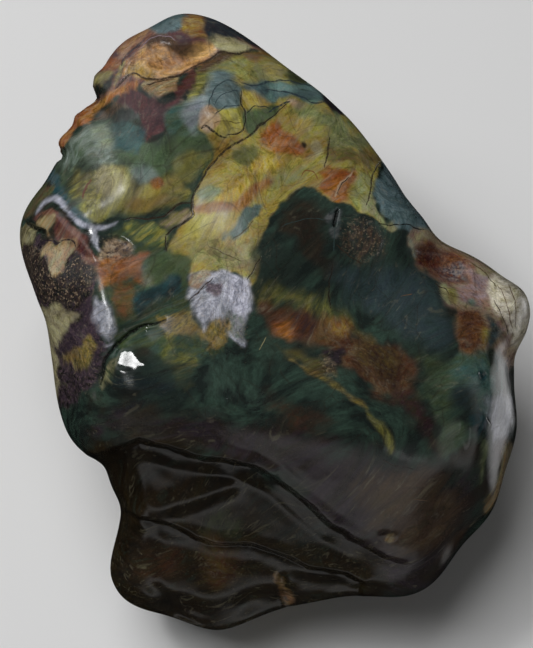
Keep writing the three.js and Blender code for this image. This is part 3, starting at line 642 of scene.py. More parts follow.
    ("nose mauve", "pink", "mauve", 0.7, 4.5, 2.4, 0.9,
     [(464, 279), (472, 271), (480, 274), (489, 278), (494, 285), (496, 294), (489, 301), (482, 305),
      (474, 303), (467, 300), (461, 295), (456, 289)]),
    ("nose tip", "bone", "pale cream", 0.5, 3.0, 2.5, 0.95,
     [(494, 270), (506, 276), (520, 284), (532, 296), (534, 308), (530, 322), (524, 336), (516, 352),
      (511, 350), (509, 335), (506, 323), (500, 314), (494, 307), (492, 298), (493, 286)]),
    ("rim lime", "pale green", "cream", 0.5, 1.6, 1.2, 0.95,
     [(442, 286), (447, 285), (449, 294), (452, 303), (447, 301), (443, 295)]),
    ("rim olive", "olive", "yellow olive", 0.5, 3.0, 1.2, 0.9,
     [(449, 287), (457, 287), (460, 296), (456, 303), (450, 298)]),
    ("nose rust", "dark rust", "rust", 0.6, 5.2, 2.4, 0.95,
     [(458, 304), (468, 306), (478, 310), (485, 321), (489, 332), (489, 344), (482, 349), (473, 352),
      (463, 349), (458, 339), (458, 322)]),
    ("nose gold edge", "ochre", "yellow olive", 0.5, 3.0, 1.6, 0.8,
     [(483, 324), (487, 327), (489, 336), (487, 345), (483, 343), (484, 333)]),
    ("nose teal", "deep teal", "blue black", 0.4, 3.8, 1.6, 0.95,
     [(485, 315), (493, 317), (501, 328), (501, 335), (496, 342), (491, 348), (488, 342), (488, 330)]),
    ("nose green spot", "pale teal", "leaf green", 0.4, 3.0, 0.8, 0.9,
     [(469, 300), (473, 298), (476, 302), (474, 306), (470, 304)]),
    ("edge pink", "pink", "pink beige", 0.5, 4.5, 1.6, 0.9,
     [(498, 340), (508, 342), (516, 350), (518, 366), (508, 368), (502, 357), (498, 348)]),
    ("flank teal", "pale teal", "teal", 0.4, 7.5, 3.2, 0.85,
     [(474, 372), (484, 368), (494, 374), (497, 388), (490, 402), (484, 412), (478, 404), (474, 388)]),
    ("flank dark teal", "deep teal", "blue black", 0.4, 4.5, 2.4, 0.95,
     [(470, 414), (482, 411), (489, 416), (491, 425), (488, 435), (481, 439), (474, 431), (470, 422)]),
    # Partly mauve stone, partly a painted sheen: its quartz and lilac stand in for a light mirrored along
    # the right edge.
    ("flank mauve", "quartz", "lilac", 0.4, 6.0, 2.4, 0.9,
     [(487, 399), (494, 395), (503, 394), (514, 400), (514, 422), (508, 436), (500, 442), (492, 445),
      (489, 436), (490, 424), (492, 412), (489, 405)]),
    ("flank blue", "blue black", "dark slate", 0.4, 7.5, 3.2, 0.85,
     [(454, 388), (466, 384), (476, 392), (478, 408), (468, 414), (458, 408), (452, 398)]),
    ("flank green", "leaf green", "grey green", 0.5, 7.5, 3.2, 0.8,
     [(434, 415), (444, 413), (456, 417), (463, 426), (462, 440), (456, 450), (446, 452), (440, 441),
      (436, 428)]),
    ("flank stripe", "leaf green", "pale green", 0.5, 3.8, 1.2, 0.85,
     [(482, 440), (488, 443), (490, 454), (487, 467), (485, 479), (482, 488), (479, 485), (481, 470),
      (483, 456), (481, 448)]),
    ("flank maroon", "dark maroon", "purple", 0.5, 4.5, 1.6, 0.95,
     [(494, 443), (505, 439), (504, 451), (500, 463), (495, 475), (490, 486), (486, 480), (491, 465),
      (494, 453)]),
    ("flank khaki", "tan", "khaki", 0.5, 4.5, 1.6, 0.85,
     [(506, 442), (516, 446), (514, 466), (506, 484), (496, 500), (486, 512), (484, 504), (491, 491),
      (498, 476), (503, 460)]),
    ("flank hole", "black", "deep teal", 0.5, 1.5, 1.0, 0.95,
     [(479, 373), (483, 372), (486, 376), (484, 381), (480, 379)]),
    # The lobe and the terrace
    ("lobe glow", "dark rust", "olive brown", 0.6, 13.5, 4.8, 0.75,
     [(206, 542), (218, 538), (230, 550), (236, 566), (228, 582), (214, 580), (206, 562)]),
    ("lobe glow left", "dark rust", "umber", 0.6, 13.5, 4.8, 0.6,
     [(146, 552), (160, 548), (176, 554), (172, 570), (156, 576), (146, 566)]),
    ("chip face", "tan", "olive brown", 0.6, 2.0, 2.0, 0.8,
     [(277, 580), (282, 577), (286, 588), (289, 602), (284, 606), (280, 594)]),
    ("pit chip", "tan", "khaki", 0.6, 1.5, 1.5, 0.8,
     [(388, 533), (395, 533), (393, 539), (387, 539)]),
    ("terrace moss", "moss", "dark green", 0.6, 10.5, 4.0, 0.5,
     [(206, 516), (220, 514), (232, 522), (232, 534), (218, 538), (206, 528)]),
    ("terrace blue", "green black", "bark", 0.5, 15.0, 4.8, 0.6,
     [(258, 500), (280, 502), (306, 520), (334, 540), (330, 552), (300, 544), (272, 530)]),
]

# Dark cracks, healed seams and pale scratches: name, colour, half width in pixels at the middle,
# depth in mm of the groove, and the line.
LINES = [
    ("main crack", "umber", 1.5, 0.3,
     [(291, 102), (274, 117), (259, 127), (243, 139), (233, 146), (224, 153), (210, 165), (201, 181),
      (195, 191), (192, 203), (191, 215), (183, 224), (170, 231), (166, 241), (167, 252)]),
    ("crack branch", "dark brown", 1.4, 0.35,
     [(192, 203), (181, 204), (172, 209), (165, 214), (152, 219), (139, 220), (122, 219)]),
    ("band crack", "dark slate", 1.4, 0.3,
     [(291, 102), (284, 105), (276, 108), (268, 112)]),
    ("fan edge", "umber", 1.1, 0.4, [(241, 90), (243, 104), (246, 113), (244, 124), (240, 131), (228, 137)]),
    ("fan lip", "black", 1.5, 0.5, [(201, 129), (206, 126), (212, 130), (219, 135), (227, 136)]),
    ("fan rib one", "dark slate", 0.7, 0.05, [(239, 83), (228, 79), (218, 86), (211, 96), (206, 110)]),
    ("fan rib two", "dark slate", 0.6, 0.05, [(240, 90), (230, 92), (220, 98), (213, 106)]),
    ("fan rib three", "dark slate", 0.6, 0.05, [(241, 107), (230, 107), (220, 111), (214, 114)]),
    ("fan rib four", "olive brown", 0.6, 0.05, [(243, 121), (230, 121), (220, 121), (214, 124)]),
    ("band top line", "dark slate", 0.9, 0.1,
     [(240, 84), (256, 84), (272, 82), (290, 82), (306, 86), (322, 84)]),
    ("band low line", "dark slate", 0.8, 0.1, [(262, 89), (280, 92), (298, 96), (314, 101), (326, 101)]),
    ("green cell line", "dark green", 0.8, 0.15, [(246, 113), (254, 107), (264, 107), (272, 110)]),
    ("neck line", "dark brown", 1.5, 0.35,
     [(114, 90), (120, 83), (127, 77), (135, 75), (145, 79), (156, 80), (168, 78), (181, 73), (196, 66),
      (211, 58), (222, 53), (238, 55), (252, 50)]),
    ("lens line", "dark brown", 0.9, 0.2, [(146, 84), (158, 82), (170, 80)]),
    # Painted highlight: a thin mauve arc along the rim of the knob's hollow.
    ("knob rim highlight line", "mauve", 0.6, 0.0, [(140, 50), (148, 42), (158, 36), (168, 35), (176, 42)]),
    ("knob left line", "dark purple", 1.6, 0.3, [(121, 66), (126, 56), (134, 48), (142, 42)]),
    ("right vertical", "dark brown", 1.0, 0.2, [(329, 136), (329, 150), (327, 160), (325, 168)]),
    ("right edge line", "dark brown", 1.1, 0.3,
     [(381, 161), (376, 170), (371, 180), (371, 194), (366, 206)]),
    ("field line", "olive brown", 0.7, 0.1, [(254, 220), (248, 228), (240, 236), (232, 240)]),
    ("field dark line", "umber", 0.7, 0.15, [(262, 256), (256, 262), (252, 272), (246, 280)]),
    ("field thin line", "olive brown", 0.6, 0.1, [(208, 246), (218, 250), (230, 256), (244, 262)]),
    ("arc in field", "rust", 0.7, 0.05, [(300, 176), (306, 170), (314, 172), (318, 180)]),
    ("pink vein", "pink beige", 1.8, 0.0, [(334, 197), (338, 188), (344, 180), (353, 172)]),
    ("pink vein dots", "dark brown", 0.8, 0.2, [(336, 194), (342, 183), (349, 176)]),
    ("slit", "black", 1.8, 0.6, [(337, 208), (336, 214), (335, 220), (334, 227)]),
    ("slit tail", "dim teal", 0.7, 0.05, [(336, 228), (335, 240), (333, 252)]),
    ("scratch arc", "dim teal", 0.5, 0.02, [(280, 228), (290, 223), (303, 219), (316, 218), (326, 220)]),
    ("bruise rim", "dark brown", 0.7, 0.0, [(336, 244), (344, 252), (353, 259), (362, 264)]),
    ("right dark line", "black", 0.9, 0.2, [(378, 225), (392, 226), (408, 226), (426, 228)]),
    ("middle line", "umber", 0.8, 0.1, [(331, 262), (330, 280), (329, 296), (331, 310)]),
    ("deep crack", "black", 1.7, 0.35,
     [(166, 319), (152, 324), (138, 329), (124, 338), (113, 349), (105, 362), (101, 374), (99, 386)]),
    ("quartz crack", "dark brown", 0.9, 0.2, [(190, 302), (198, 292), (206, 284), (214, 278)]),
    ("eye black line", "black", 1.8, 0.5, [(26, 223), (34, 227), (41, 229), (46, 232)]),
    ("eye outline", "dark purple", 1.2, 0.2,
     [(38, 250), (44, 242), (52, 241), (57, 245), (64, 241), (74, 241), (78, 248)]),
    ("maroon dash", "red brown", 1.6, 0.05, [(89, 178), (86, 188), (83, 199)]),
    ("hollow line", "dark brown", 0.8, 0.1, [(436, 282), (443, 288), (450, 294)]),
    ("nose rim line", "olive brown", 0.7, 0.1, [(470, 262), (480, 268), (490, 278), (497, 290)]),
    ("nose line one", "brown", 0.6, 0.08, [(496, 284), (504, 296), (510, 312), (512, 330)]),
    ("nose line two", "brown", 0.6, 0.08, [(506, 284), (514, 298), (517, 312), (515, 330)]),
    ("nose line three", "dark brown", 0.8, 0.1, [(492, 300), (499, 310), (505, 322), (508, 336)]),
    ("white scratch", "khaki", 0.5, 0.05, [(265, 336), (262, 344), (259, 351)]),
    ("small scratch", "brown", 0.4, 0.03, [(400, 296), (406, 295), (413, 293)]),
    ("low scratch", "brown", 0.4, 0.03, [(412, 500), (420, 501), (428, 501)]),
    # A thin dark umber line, raised a little, along the ledge.
    ("ledge dark line", "umber", 0.8, -0.05, [(382, 459), (390, 463), (400, 467), (414, 470)]),
    ("flank slit", "black", 1.3, 0.4, [(486, 417), (489, 421), (491, 426)]),
]

# Steps in the front, as the stone's solid has them. They are softer in the solid than on the stone,
# and are cut crisply here: name, half the step's width in the solid and half its width here in mm,
# and the line of its rim as (across, up, drop) in mm.
LEDGES = [
    ("belly rim", 3.0, 0.6,
     [(-38.0, -26.0, 5.0), (-32.0, -25.6, 6.0), (-24.0, -22.0, 6.0), (-19.5, -23.2, 7.0),
      (-12.0, -25.0, 7.5), (-3.2, -26.8, 7.5), (0.5, -28.8, 7.5), (5.5, -33.2, 7.0),
      (11.0, -37.8, 6.0), (17.0, -41.4, 4.5), (21.0, -44.0, 2.0), (26.0, -46.0, 0.0)]),
    ("terrace rim", 2.4, 0.45,
     [(-34.0, -35.6, 2.6), (-25.5, -36.4, 3.0), (-16.5, -39.4, 2.6), (-10.5, -41.6, 3.2),
      (-4.0, -41.8, 3.4), (1.0, -43.4, 3.4), (7.0, -46.6, 3.4), (14.2, -47.4, 3.6),
      (17.5, -49.2, 3.4), (16.6, -53.5, 3.0)]),
]

# How a rim sways, as layers of (amount, feature, seed) in mm
RIM_SWAY = [(0.45, 5.0, 4), (0.2, 1.8, 5)]
# How much of the sharper shape's rise above the solid is kept
RIM_LIFT = 0.95
# Over how many mm of depth a step fades out towards the stone's edge
LEDGE_FADE = 17.0

# Hollows (depth above 0) and swells (below 0) in mm, the width of their rims in pixels, and outlines
HOLLOWS = [
    ("knob hollow", 0.7, 7.0,
     [(124, 74), (134, 57), (147, 46), (160, 40), (176, 46), (198, 42), (217, 46), (212, 57), (190, 69),
      (165, 77), (138, 76)]),
    ("nose hollow", 1.3, 9.0,
     [(414, 250), (426, 244), (446, 248), (460, 253), (474, 264), (466, 278), (452, 286), (438, 278),
      (424, 268)]),
    ("eye", 0.6, 4.0,
     [(37, 249), (43, 241), (50, 240), (56, 244), (63, 241), (76, 243), (73, 254), (63, 269), (52, 271),
      (46, 258)]),
    ("bruise", 0.3, 5.0,
     [(345, 222), (358, 216), (374, 222), (385, 238), (378, 256), (362, 262), (346, 250)]),
    ("lobe chip", 1.5, 6.0, [(276, 578), (284, 572), (290, 588), (294, 612), (284, 612)]),
    ("low pit", 0.7, 4.0, [(379, 534), (386, 531), (392, 535), (398, 533), (394, 540), (386, 541)]),
    ("flank hole", 0.6, 2.5, [(478, 373), (483, 371), (487, 376), (483, 381)]),
    ("crystal nest", 0.9, 6.0, [(100, 242), (114, 235), (128, 240), (134, 250), (118, 260), (103, 256)]),
    ("left mouth", 0.9, 4.0, [(22, 220), (32, 222), (44, 228), (48, 234), (38, 234), (24, 228)]),
    ("fan petals", -0.5, 6.0,
     [(203, 108), (206, 84), (216, 71), (232, 76), (242, 92), (242, 112), (228, 126), (212, 122)]),
    ("maroon band", -0.9, 8.0,
     [(30, 222), (42, 210), (56, 210), (70, 224), (88, 236), (98, 254), (94, 262), (78, 250), (60, 236),
      (50, 220), (36, 226)]),
    ("upper teeth", -0.5, 5.0, [(250, 86), (290, 84), (324, 92), (320, 102), (296, 100), (266, 100)]),
]

# How far outside its outline a hollow begins, in pixels
HOLLOW_LIP = 1.0

# Small flats of the polish that mirror the window: the way from them to it, and their outlines
FLATS = [
    ("shoulder flat", WINDOW_WAY, [(120, 352), (129, 351), (143, 363), (144, 366), (120, 366)]),
]
# Over how many pixels around it a flat blends into the skin, and from which share on the skin counts
# for where the flat lies
FLAT_BLEND = 4.0
FLAT_CORE = 0.9

# Where the outline stands out or is nicked: the middle and the reach in pixels, and the push across
# and up in mm, which is full over PUSH_CORE of its reach
EDGE_PUSHES = [
    ("ridge tip", 67, 141, 12, -1.0, -0.2),
    ("ridge back", 87, 114, 20, -1.3, 0.6),
    ("ridge nick", 60, 158, 7, 0.8, 0.0),
    ("knob side", 99, 82, 18, -1.2, 0.2),
    ("knob nick", 90, 101, 5, 0.9, -0.4),
]
PUSH_CORE = 0.2

# Spots that are smoother on the stone than in its solid: the middle and the reach in pixels. They
# are levelled in CALM_ROUNDS rounds, fully over CALM_CORE of their reach.
CALM_SPOTS = [(172, 322, 28), (440, 410, 30), (476, 400, 26)]
CALM_CORE = 0.4
CALM_ROUNDS = 110

# The skin just above the flat spot is levelled too: fully below the first height in mm, and not at
# all above the second.
FOOT_CALM = (1.0, 3.5)
FOOT_ROUNDS = 16

# The lobe stays level towards the viewer and turns away only close to its edge: how far it is
# lifted, between which distances below the front's middle this sets in, and between which depths it
# turns away, all in mm.
LOBE_LIFT = 4.2
LOBE_SPAN = (41.0, 53.0)
LOBE_TURN = (0.5, 7.0)

# All of these forms set in over the front from this share of it on.
FORMS_FROM = 0.5


# Outlines and lines on the stone


def curve_through(points, closed, steps=4):
    """A smooth curve through the points, with so many steps from one to the next."""
    points = np.array(points, dtype=float)
    if closed:
        ring = np.vstack([points[-1], points, points[:2]])
    else:
        ring = np.vstack([2 * points[0] - points[1], points, 2 * points[-1] - points[-2]])
    spans = []
    for before, start, end, after in zip(ring, ring[1:], ring[2:], ring[3:]):
        for t in np.arange(steps) / steps:
            spans.append(0.5 * (
                2 * start
                + (end - before) * t
                + (2 * before - 5 * start + 4 * end - after) * t**2
                + (3 * start - before - 3 * end + after) * t**3
            ))
    spans.append(ring[-2])
    return np.array(spans)


def segment_distances(x, y, curve):
    """Distance from each point to each stretch of a curve, the place along it, and the side."""
    start, run = curve[:-1], np.diff(curve, axis=0)
    away_x = x[:, None] - start[:, 0]
    away_y = y[:, None] - start[:, 1]
    length = np.maximum((run**2).sum(axis=1), TINY)
    along = np.clip((away_x * run[:, 0] + away_y * run[:, 1]) / length, 0.0, 1.0)
    distance = np.hypot(away_x - along * run[:, 0], away_y - along * run[:, 1])
    side = np.sign(run[:, 0] * away_y - run[:, 1] * away_x)
    return distance, along, side


def near_points(x, y, curve, margin):
    """Which points lie in the curve's own box, widened by the margin."""
    inside = (x > curve[:, 0].min() - margin) & (x < curve[:, 0].max() + margin)
    inside &= (y > curve[:, 1].min() - margin) & (y < curve[:, 1].max() + margin)
    return np.flatnonzero(inside)


def patch_distances(x, y, outline, margin):
    """The points near an outline and their distance to it, positive inside."""
    curve = curve_through(outline, closed=True)
    near = near_points(x, y, curve, margin)
    distance, _, _ = segment_distances(x[near], y[near], curve)
    before, after = curve[:-1], curve[1:]
    level = y[near][:, None]
    crosses = (before[:, 1] > level) != (after[:, 1] > level)
    rise = np.where(after[:, 1] == before[:, 1], TINY, after[:, 1] - before[:, 1])
    cross_x = before[:, 0] + (level - before[:, 1]) * (after[:, 0] - before[:, 0]) / rise
    inside = (crosses & (x[near][:, None] < cross_x)).sum(axis=1) % 2 == 1
    return near, np.where(inside, 1.0, -1.0) * distance.min(axis=1)


# The noise repeats after so many features each way.
LATTICE = 32


def lattice_noise(points, feature, seed):
    """Smooth noise from -1 to 1 with features of a size."""
    values = np.random.default_rng(seed).uniform(-1.0, 1.0, size=(LATTICE, LATTICE, LATTICE))
    cell = np.floor(points / feature)
    part = points / feature - cell
    part = part * part * (3.0 - 2.0 * part)
    cell = cell.astype(int)
    total = np.zeros(len(points))
    for corner in np.ndindex(2, 2, 2):
        weight = np.ones(len(points))
        for axis in range(3):
            weight = weight * (part[:, axis] if corner[axis] else 1.0 - part[:, axis])
        i, j, k = ((cell[:, axis] + corner[axis]) % LATTICE for axis in range(3))
        total += weight * values[i, j, k]
    return total


def with_noise(values, points, layers):
    """The values with layers of noise added to them: (amount, feature, seed) for each."""
    for amount, feature, seed in layers:
        values = values + amount * lattice_noise(points, feature, seed)
    return values


# The direction of the front along which the stone's markings are stretched
FLOW_WAY = ACROSS * 0.80 + UP * 0.60
FLOW_STRETCH = 0.7
# The waves that fold the markings: (length, amount) in mm, and how many there are of each
FOLDS = [(46.0, 5.0), (24.0, 3.0), (13.0, 1.6)]
FOLDS_OF_EACH = 3
FOLD_SEED = 11


def flowing(points):
    """The points in mm, folded and stretched, so that noise over them runs in wisps."""
    random = np.random.default_rng(FOLD_SEED)
    bent = points.copy()
    for wave_length, amount in FOLDS:
        for _ in range(FOLDS_OF_EACH):
            way, push = random.normal(size=(2, 3))
            way /= np.linalg.norm(way)
            push /= np.linalg.norm(push)
            phase = random.uniform(0.0, math.tau)
            swing = np.sin(bent @ way * (math.tau / wave_length) + phase)
            bent = bent + swing[:, None] * push * amount
    along = bent @ FLOW_WAY
    return bent - np.outer(along * (1.0 - FLOW_STRETCH), FLOW_WAY)


# How far from its line a crack or scratch reaches at most, in pixels
LINE_REACH = 7.0
# How quickly it widens from its ends
TAPER_RATE = 7.0
TAPER_POWER = 0.6
# How it sways, as layers of (amount, feature, seed) in pixels
LINE_SWAY = [(2.0, 15.0, 8), (0.9, 5.0, 9)]


def line_distances(x, y, points):
    """The points near a line, their distance to either side of it, and its width share there."""
    curve = curve_through(points, closed=False)
    near = near_points(x, y, curve, LINE_REACH)
    distance, along, side = segment_distances(x[near], y[near], curve)
    nearest = distance.argmin(axis=1)
    rows = np.arange(len(near))
    place = (nearest + along[rows, nearest]) / (len(curve) - 1)
    taper = np.clip(np.minimum(place, 1.0 - place) * TAPER_RATE, 0.0, 1.0) ** TAPER_POWER
    close = distance[rows, nearest]
    kept = close < LINE_REACH
    flat = np.stack([x[near], y[near], np.zeros(len(near))], axis=1)
    across = with_noise(close * side[rows, nearest], flat, LINE_SWAY)
    return near[kept], across[kept], taper[kept]


def ledge_height(u, v, line):
    """Signed distance from a ledge's line in mm, positive above it, and the drop there."""
    table = np.array(line)
    distance, along, _ = segment_distances(u, v, table[:, :2])
    nearest = distance.argmin(axis=1)
    rows = np.arange(len(u))
    start, run = table[:-1][nearest], np.diff(table, axis=0)[nearest]
    side = np.where(run[:, 0] * (v - start[:, 1]) - run[:, 1] * (u - start[:, 0]) >= 0, 1.0, -1.0)
    drop = start[:, 2] + run[:, 2] * along[rows, nearest]
    return side * distance[rows, nearest], drop


# The finer mesh: once more all over, again on the front and the sides, and a third time where the
# markings have their edges, as far as the limit of triangles allows.

# How squarely the skin faces the viewer, as a cosine, from where on it is a side, and where the
# front's paint sets in and is full
SIDES_FROM = -0.35
PAINT_FROM = -0.16
PAINT_FULL = 0.02
MOST_TRIANGLES = 192_000

# The need for more mesh is a distance in pixels: this far where no marking is near, and this far
# behind the front, which begins at SEEN_FROM.
NOTHING_NEAR = 40.0
HIDDEN = 99.0
SEEN_FROM = 0.4
# How far around a patch its edge counts, and how much farther off than a line it seems
PATCH_LOOK = 12.0
PATCH_EXTRA = 2.0
# Lines deeper than this, in mm, seem nearer by this share.
DEEP_LINE = 0.25
DEEP_SHARE = 0.4
# So do ledges with more than this drop, in mm.
LEAST_DROP = 0.5
LEDGE_SHARE = 0.3


def front_share(places, faces):
    """How far each vertex belongs to the front that the photograph shows: 1 on it, 0 behind it."""
    return smoothstep(vertex_normals(places, faces) @ OUT, PAINT_FROM, PAINT_FULL)


def marking_need(places):
    """How far each vertex lies from the nearest edge of a marking, in pixels; less needs more mesh."""
    x, y = photo_pixels(places)
    need = np.full(len(x), NOTHING_NEAR)
    for _, _, _, _, _, _, _, outline in PATCHES:
        near, distance = patch_distances(x, y, outline, PATCH_LOOK)
        need[near] = np.minimum(need[near], np.abs(distance) + PATCH_EXTRA)
    for _, _, _, depth, points in LINES:
        near, distance, _ = line_distances(x, y, points)
        share = DEEP_SHARE if depth > DEEP_LINE else 1.0
        need[near] = np.minimum(need[near], np.abs(distance) * share)
    u, v, _ = front_coordinates(places)
    for _, _, _, line in LEDGES:
        above, drop = ledge_height(u, v, line)
        away = np.where(drop > LEAST_DROP, np.abs(above) * PIXELS_PER_MM, NOTHING_NEAR)
        need = np.minimum(need, away * LEDGE_SHARE)
    return need


places = sharpened(stone_places, stone_faces)
faces = stone_faces
places, faces = refined(places, faces, np.ones(len(faces), dtype=bool))
towards = (vertex_normals(places, faces) @ OUT)[faces].max(axis=1)
places, faces = refined(places, faces, towards > SIDES_FROM)
need = marking_need(places)[faces].min(axis=1)
need[front_share(places, faces)[faces].max(axis=1) < SEEN_FROM] = HIDDEN
spare = (MOST_TRIANGLES - len(faces)) // 4
places, faces = refined(places, faces, need < np.sort(need)[spare])


def pushed(places):
    """The places with the outline's small bumps and nicks."""
    x, y = photo_pixels(places)
    moved = places.copy()
    for _, middle_x, middle_y, reach, across, up in EDGE_PUSHES:
        share = 1.0 - smoothstep(np.hypot(x - middle_x, y - middle_y), reach * PUSH_CORE, reach)
        moved += np.outer(share, ACROSS * across + UP * up)
    return moved


def calm_share(places, faces):
    """How far each vertex belongs to the spots that are levelled."""
    x, y = photo_pixels(places)
    share = np.zeros(len(places))
    for middle_x, middle_y, reach in CALM_SPOTS:
        away = np.hypot(x - middle_x, y - middle_y)
        share = np.maximum(share, 1.0 - smoothstep(away, reach * CALM_CORE, reach))
    return share * front_share(places, faces)


def calmed(places, faces, share, rounds):
    """The places with small bumps levelled out where the share is above 0."""
    edges, _, _ = edge_table(faces)
    edges = edges[(share[edges] > 0.0).any(axis=1)]
    for _ in range(rounds):
        sums, count = neighbour_sums(places, edges)
        mean = sums / np.maximum(count, 1)[:, None]
        places = places + share[:, None] * (mean - places)
    return places


places = pushed(places)
places = calmed(places, faces, calm_share(places, faces), CALM_ROUNDS)
places = calmed(places, faces, 1.0 - smoothstep(places[:, 2], *FOOT_CALM), FOOT_ROUNDS)
FRONT_SHARE = front_share(places, faces)
PHOTO_X, PHOTO_Y = photo_pixels(places)
normals = vertex_normals(places, faces)

# The paint of the front, carried on the mesh

# How the edges of the patches wander along the flow and fray, as layers of (amount, feature, seed):
# the amounts are in pixels for each pixel of raggedness, and the features in mm
EDGE_WANDER = [(1.5, 3.6, 1), (0.9, 1.7, 2)]
EDGE_FRAY = [(0.5, 0.8, 3)]
# How they are bent sideways and up: the amounts are in pixels for a raggedness of BEND_RAGGED, and
# grow with it up to MOST_BEND times
BEND_X = [(3.6, 3.6, 21), (1.6, 1.8, 22)]
BEND_Y = [(3.6, 3.6, 31), (1.6, 1.8, 32)]
BEND_RAGGED = 2.0
MOST_BEND = 1.2
# How far a patch reaches past its soft and ragged edge, in pixels
EDGE_MARGIN = 3.0
# From this share of the front on, its paint is full.
PAINT_WHOLE = 0.3
# The distance in pixels that stands for no line near
NO_LINE = -60.0


def colour(name):
    """The linear colour of a name in the palette."""
    return srgb(PALETTE[name])


def painted_front():
    """Each vertex's two colours, with the share of the paint and the fineness of its mottling."""
    wander = with_noise(0.0, flowing(smooth_places), EDGE_WANDER)
    wander = with_noise(wander, smooth_places, EDGE_FRAY)
    bend_x = with_noise(0.0, smooth_places, BEND_X)
    bend_y = with_noise(0.0, smooth_places, BEND_Y)
    first = np.tile([*colour("green black"), 0.0], (len(places), 1))
    second = np.tile([*colour("dark green"), 0.5], (len(places), 1))
    for _, one, other, fineness, softness, ragged, strength, outline in PATCHES:
        bend = min(ragged / BEND_RAGGED, MOST_BEND)
        x, y = PHOTO_X + bend_x * bend, PHOTO_Y + bend_y * bend
        near, distance = patch_distances(x, y, outline, softness + ragged * 2.0 + EDGE_MARGIN)
        mask = smoothstep(distance + ragged * wander[near], -softness, softness)
        mask = (mask * strength * smoothstep(FRONT_SHARE[near], 0.0, PAINT_WHOLE))[:, None]
        first[near] += (np.array([*colour(one), 1.0]) - first[near]) * mask
        second[near] += (np.array([*colour(other), fineness]) - second[near]) * mask
    return first, second


class LineLayer:
    """Lines that keep clear of each other: their distance, half width and depth, and their ink."""

    def __init__(self, size):
        self.trace = np.tile([NO_LINE, 0.0, 0.0, 1.0], (size, 1))
        self.ink = np.zeros((size, 4))
        self.taken = np.zeros(size, dtype=bool)


def line_layers():
    """The lines, laid into as few layers as hold them all."""
    layers = []
    seen = FRONT_SHARE > 0.0
    for _, ink, half_width, depth, points in LINES:
        near, distance, taper = line_distances(PHOTO_X, PHOTO_Y, points)
        kept = seen[near]
        near, distance, taper = near[kept], distance[kept], taper[kept]
        layer = next((one for one in layers if not one.taken[near].any()), None)
        if layer is None:
            layer = LineLayer(len(PHOTO_X))
            layers.append(layer)
        layer.taken[near] = True
        layer.trace[near, 0] = distance
        layer.trace[near, 1] = half_width * taper
        layer.trace[near, 2] = depth
        layer.ink[near] = (*colour(ink), 1.0)
    return layers


# How rough and how grainy the finish is beside the plain polish, by patch
MATT_PATCHES = {
    "ochre field": (0.20, 0.0),
    "cheek": (0.17, 0.0),
    "left flank dark": (0.10, 0.25),
    "flank grains": (0.25, 1.0),
    "olive under quartz": (0.3, 0.1),
    "orange blotch": (0.2, 0.1),
    "orange olive": (0.2, 0.0),
    "crystal nest": (0.22, 0.9),
    "quartz and highlight": (0.12, 0.35),
    "flank lilac and highlight": (0.12, 0.35),
    "eye": (0.10, 0.4),
    "bruise": (0.15, 0.5),
    "black spot": (0.35, 0.0),
    "cheek teal": (0.2, 0.0),
    "nose hollow": (0.15, 0.6),
    "hollow crystals": (0.25, 1.0),
    "purple crystals": (0.2, 0.8),
    "flank purple": (0.10, 0.2),
    "knob ground": (0.17, 0.1),
    "orange ridge": (0.15, 0.0),
    "maroon blotch": (0.4, 0.1),
    "underside": (0.06, 0.05),
    "lobe": (0.05, 0.05),
    "nose": (0.06, 0.2),
}
# How many pixels further than its colour a patch's finish blends out
FINISH_BLEND = 2.0


def surface_finish():
    """(front share, extra roughness, grain) of each vertex."""
    values = np.zeros((len(PHOTO_X), 4))
    values[:, 0] = FRONT_SHARE
    for name, _, _, _, softness, _, _, outline in PATCHES:
        if name in MATT_PATCHES:
            near, distance = patch_distances(PHOTO_X, PHOTO_Y, outline, softness + EDGE_MARGIN)
            reach = softness + FINISH_BLEND
            share = smoothstep(distance, -reach, reach) * FRONT_SHARE[near]
            for column, amount in enumerate(MATT_PATCHES[name], start=1):
                values[near, column] = np.maximum(values[near, column], amount * share)
    return values


# Crisp ledges, hollows and the grooves of the cracks, cut into the mesh

# How high the grains of a grainy finish stand in mm, and their (amount, feature, seed) layers
GRAIN_LIFT = 0.16
GRAIN_LAYERS = [(1.0, 0.9, 6), (0.6, 2.2, 7)]

# From this half width in pixels on, a line is a groove in the mesh too, and finer ones are left to
# the shader. A groove is wider than its line by GROOVE_WIDER.
GROOVE_FROM = 1.6
GROOVE_WIDER = 2.0


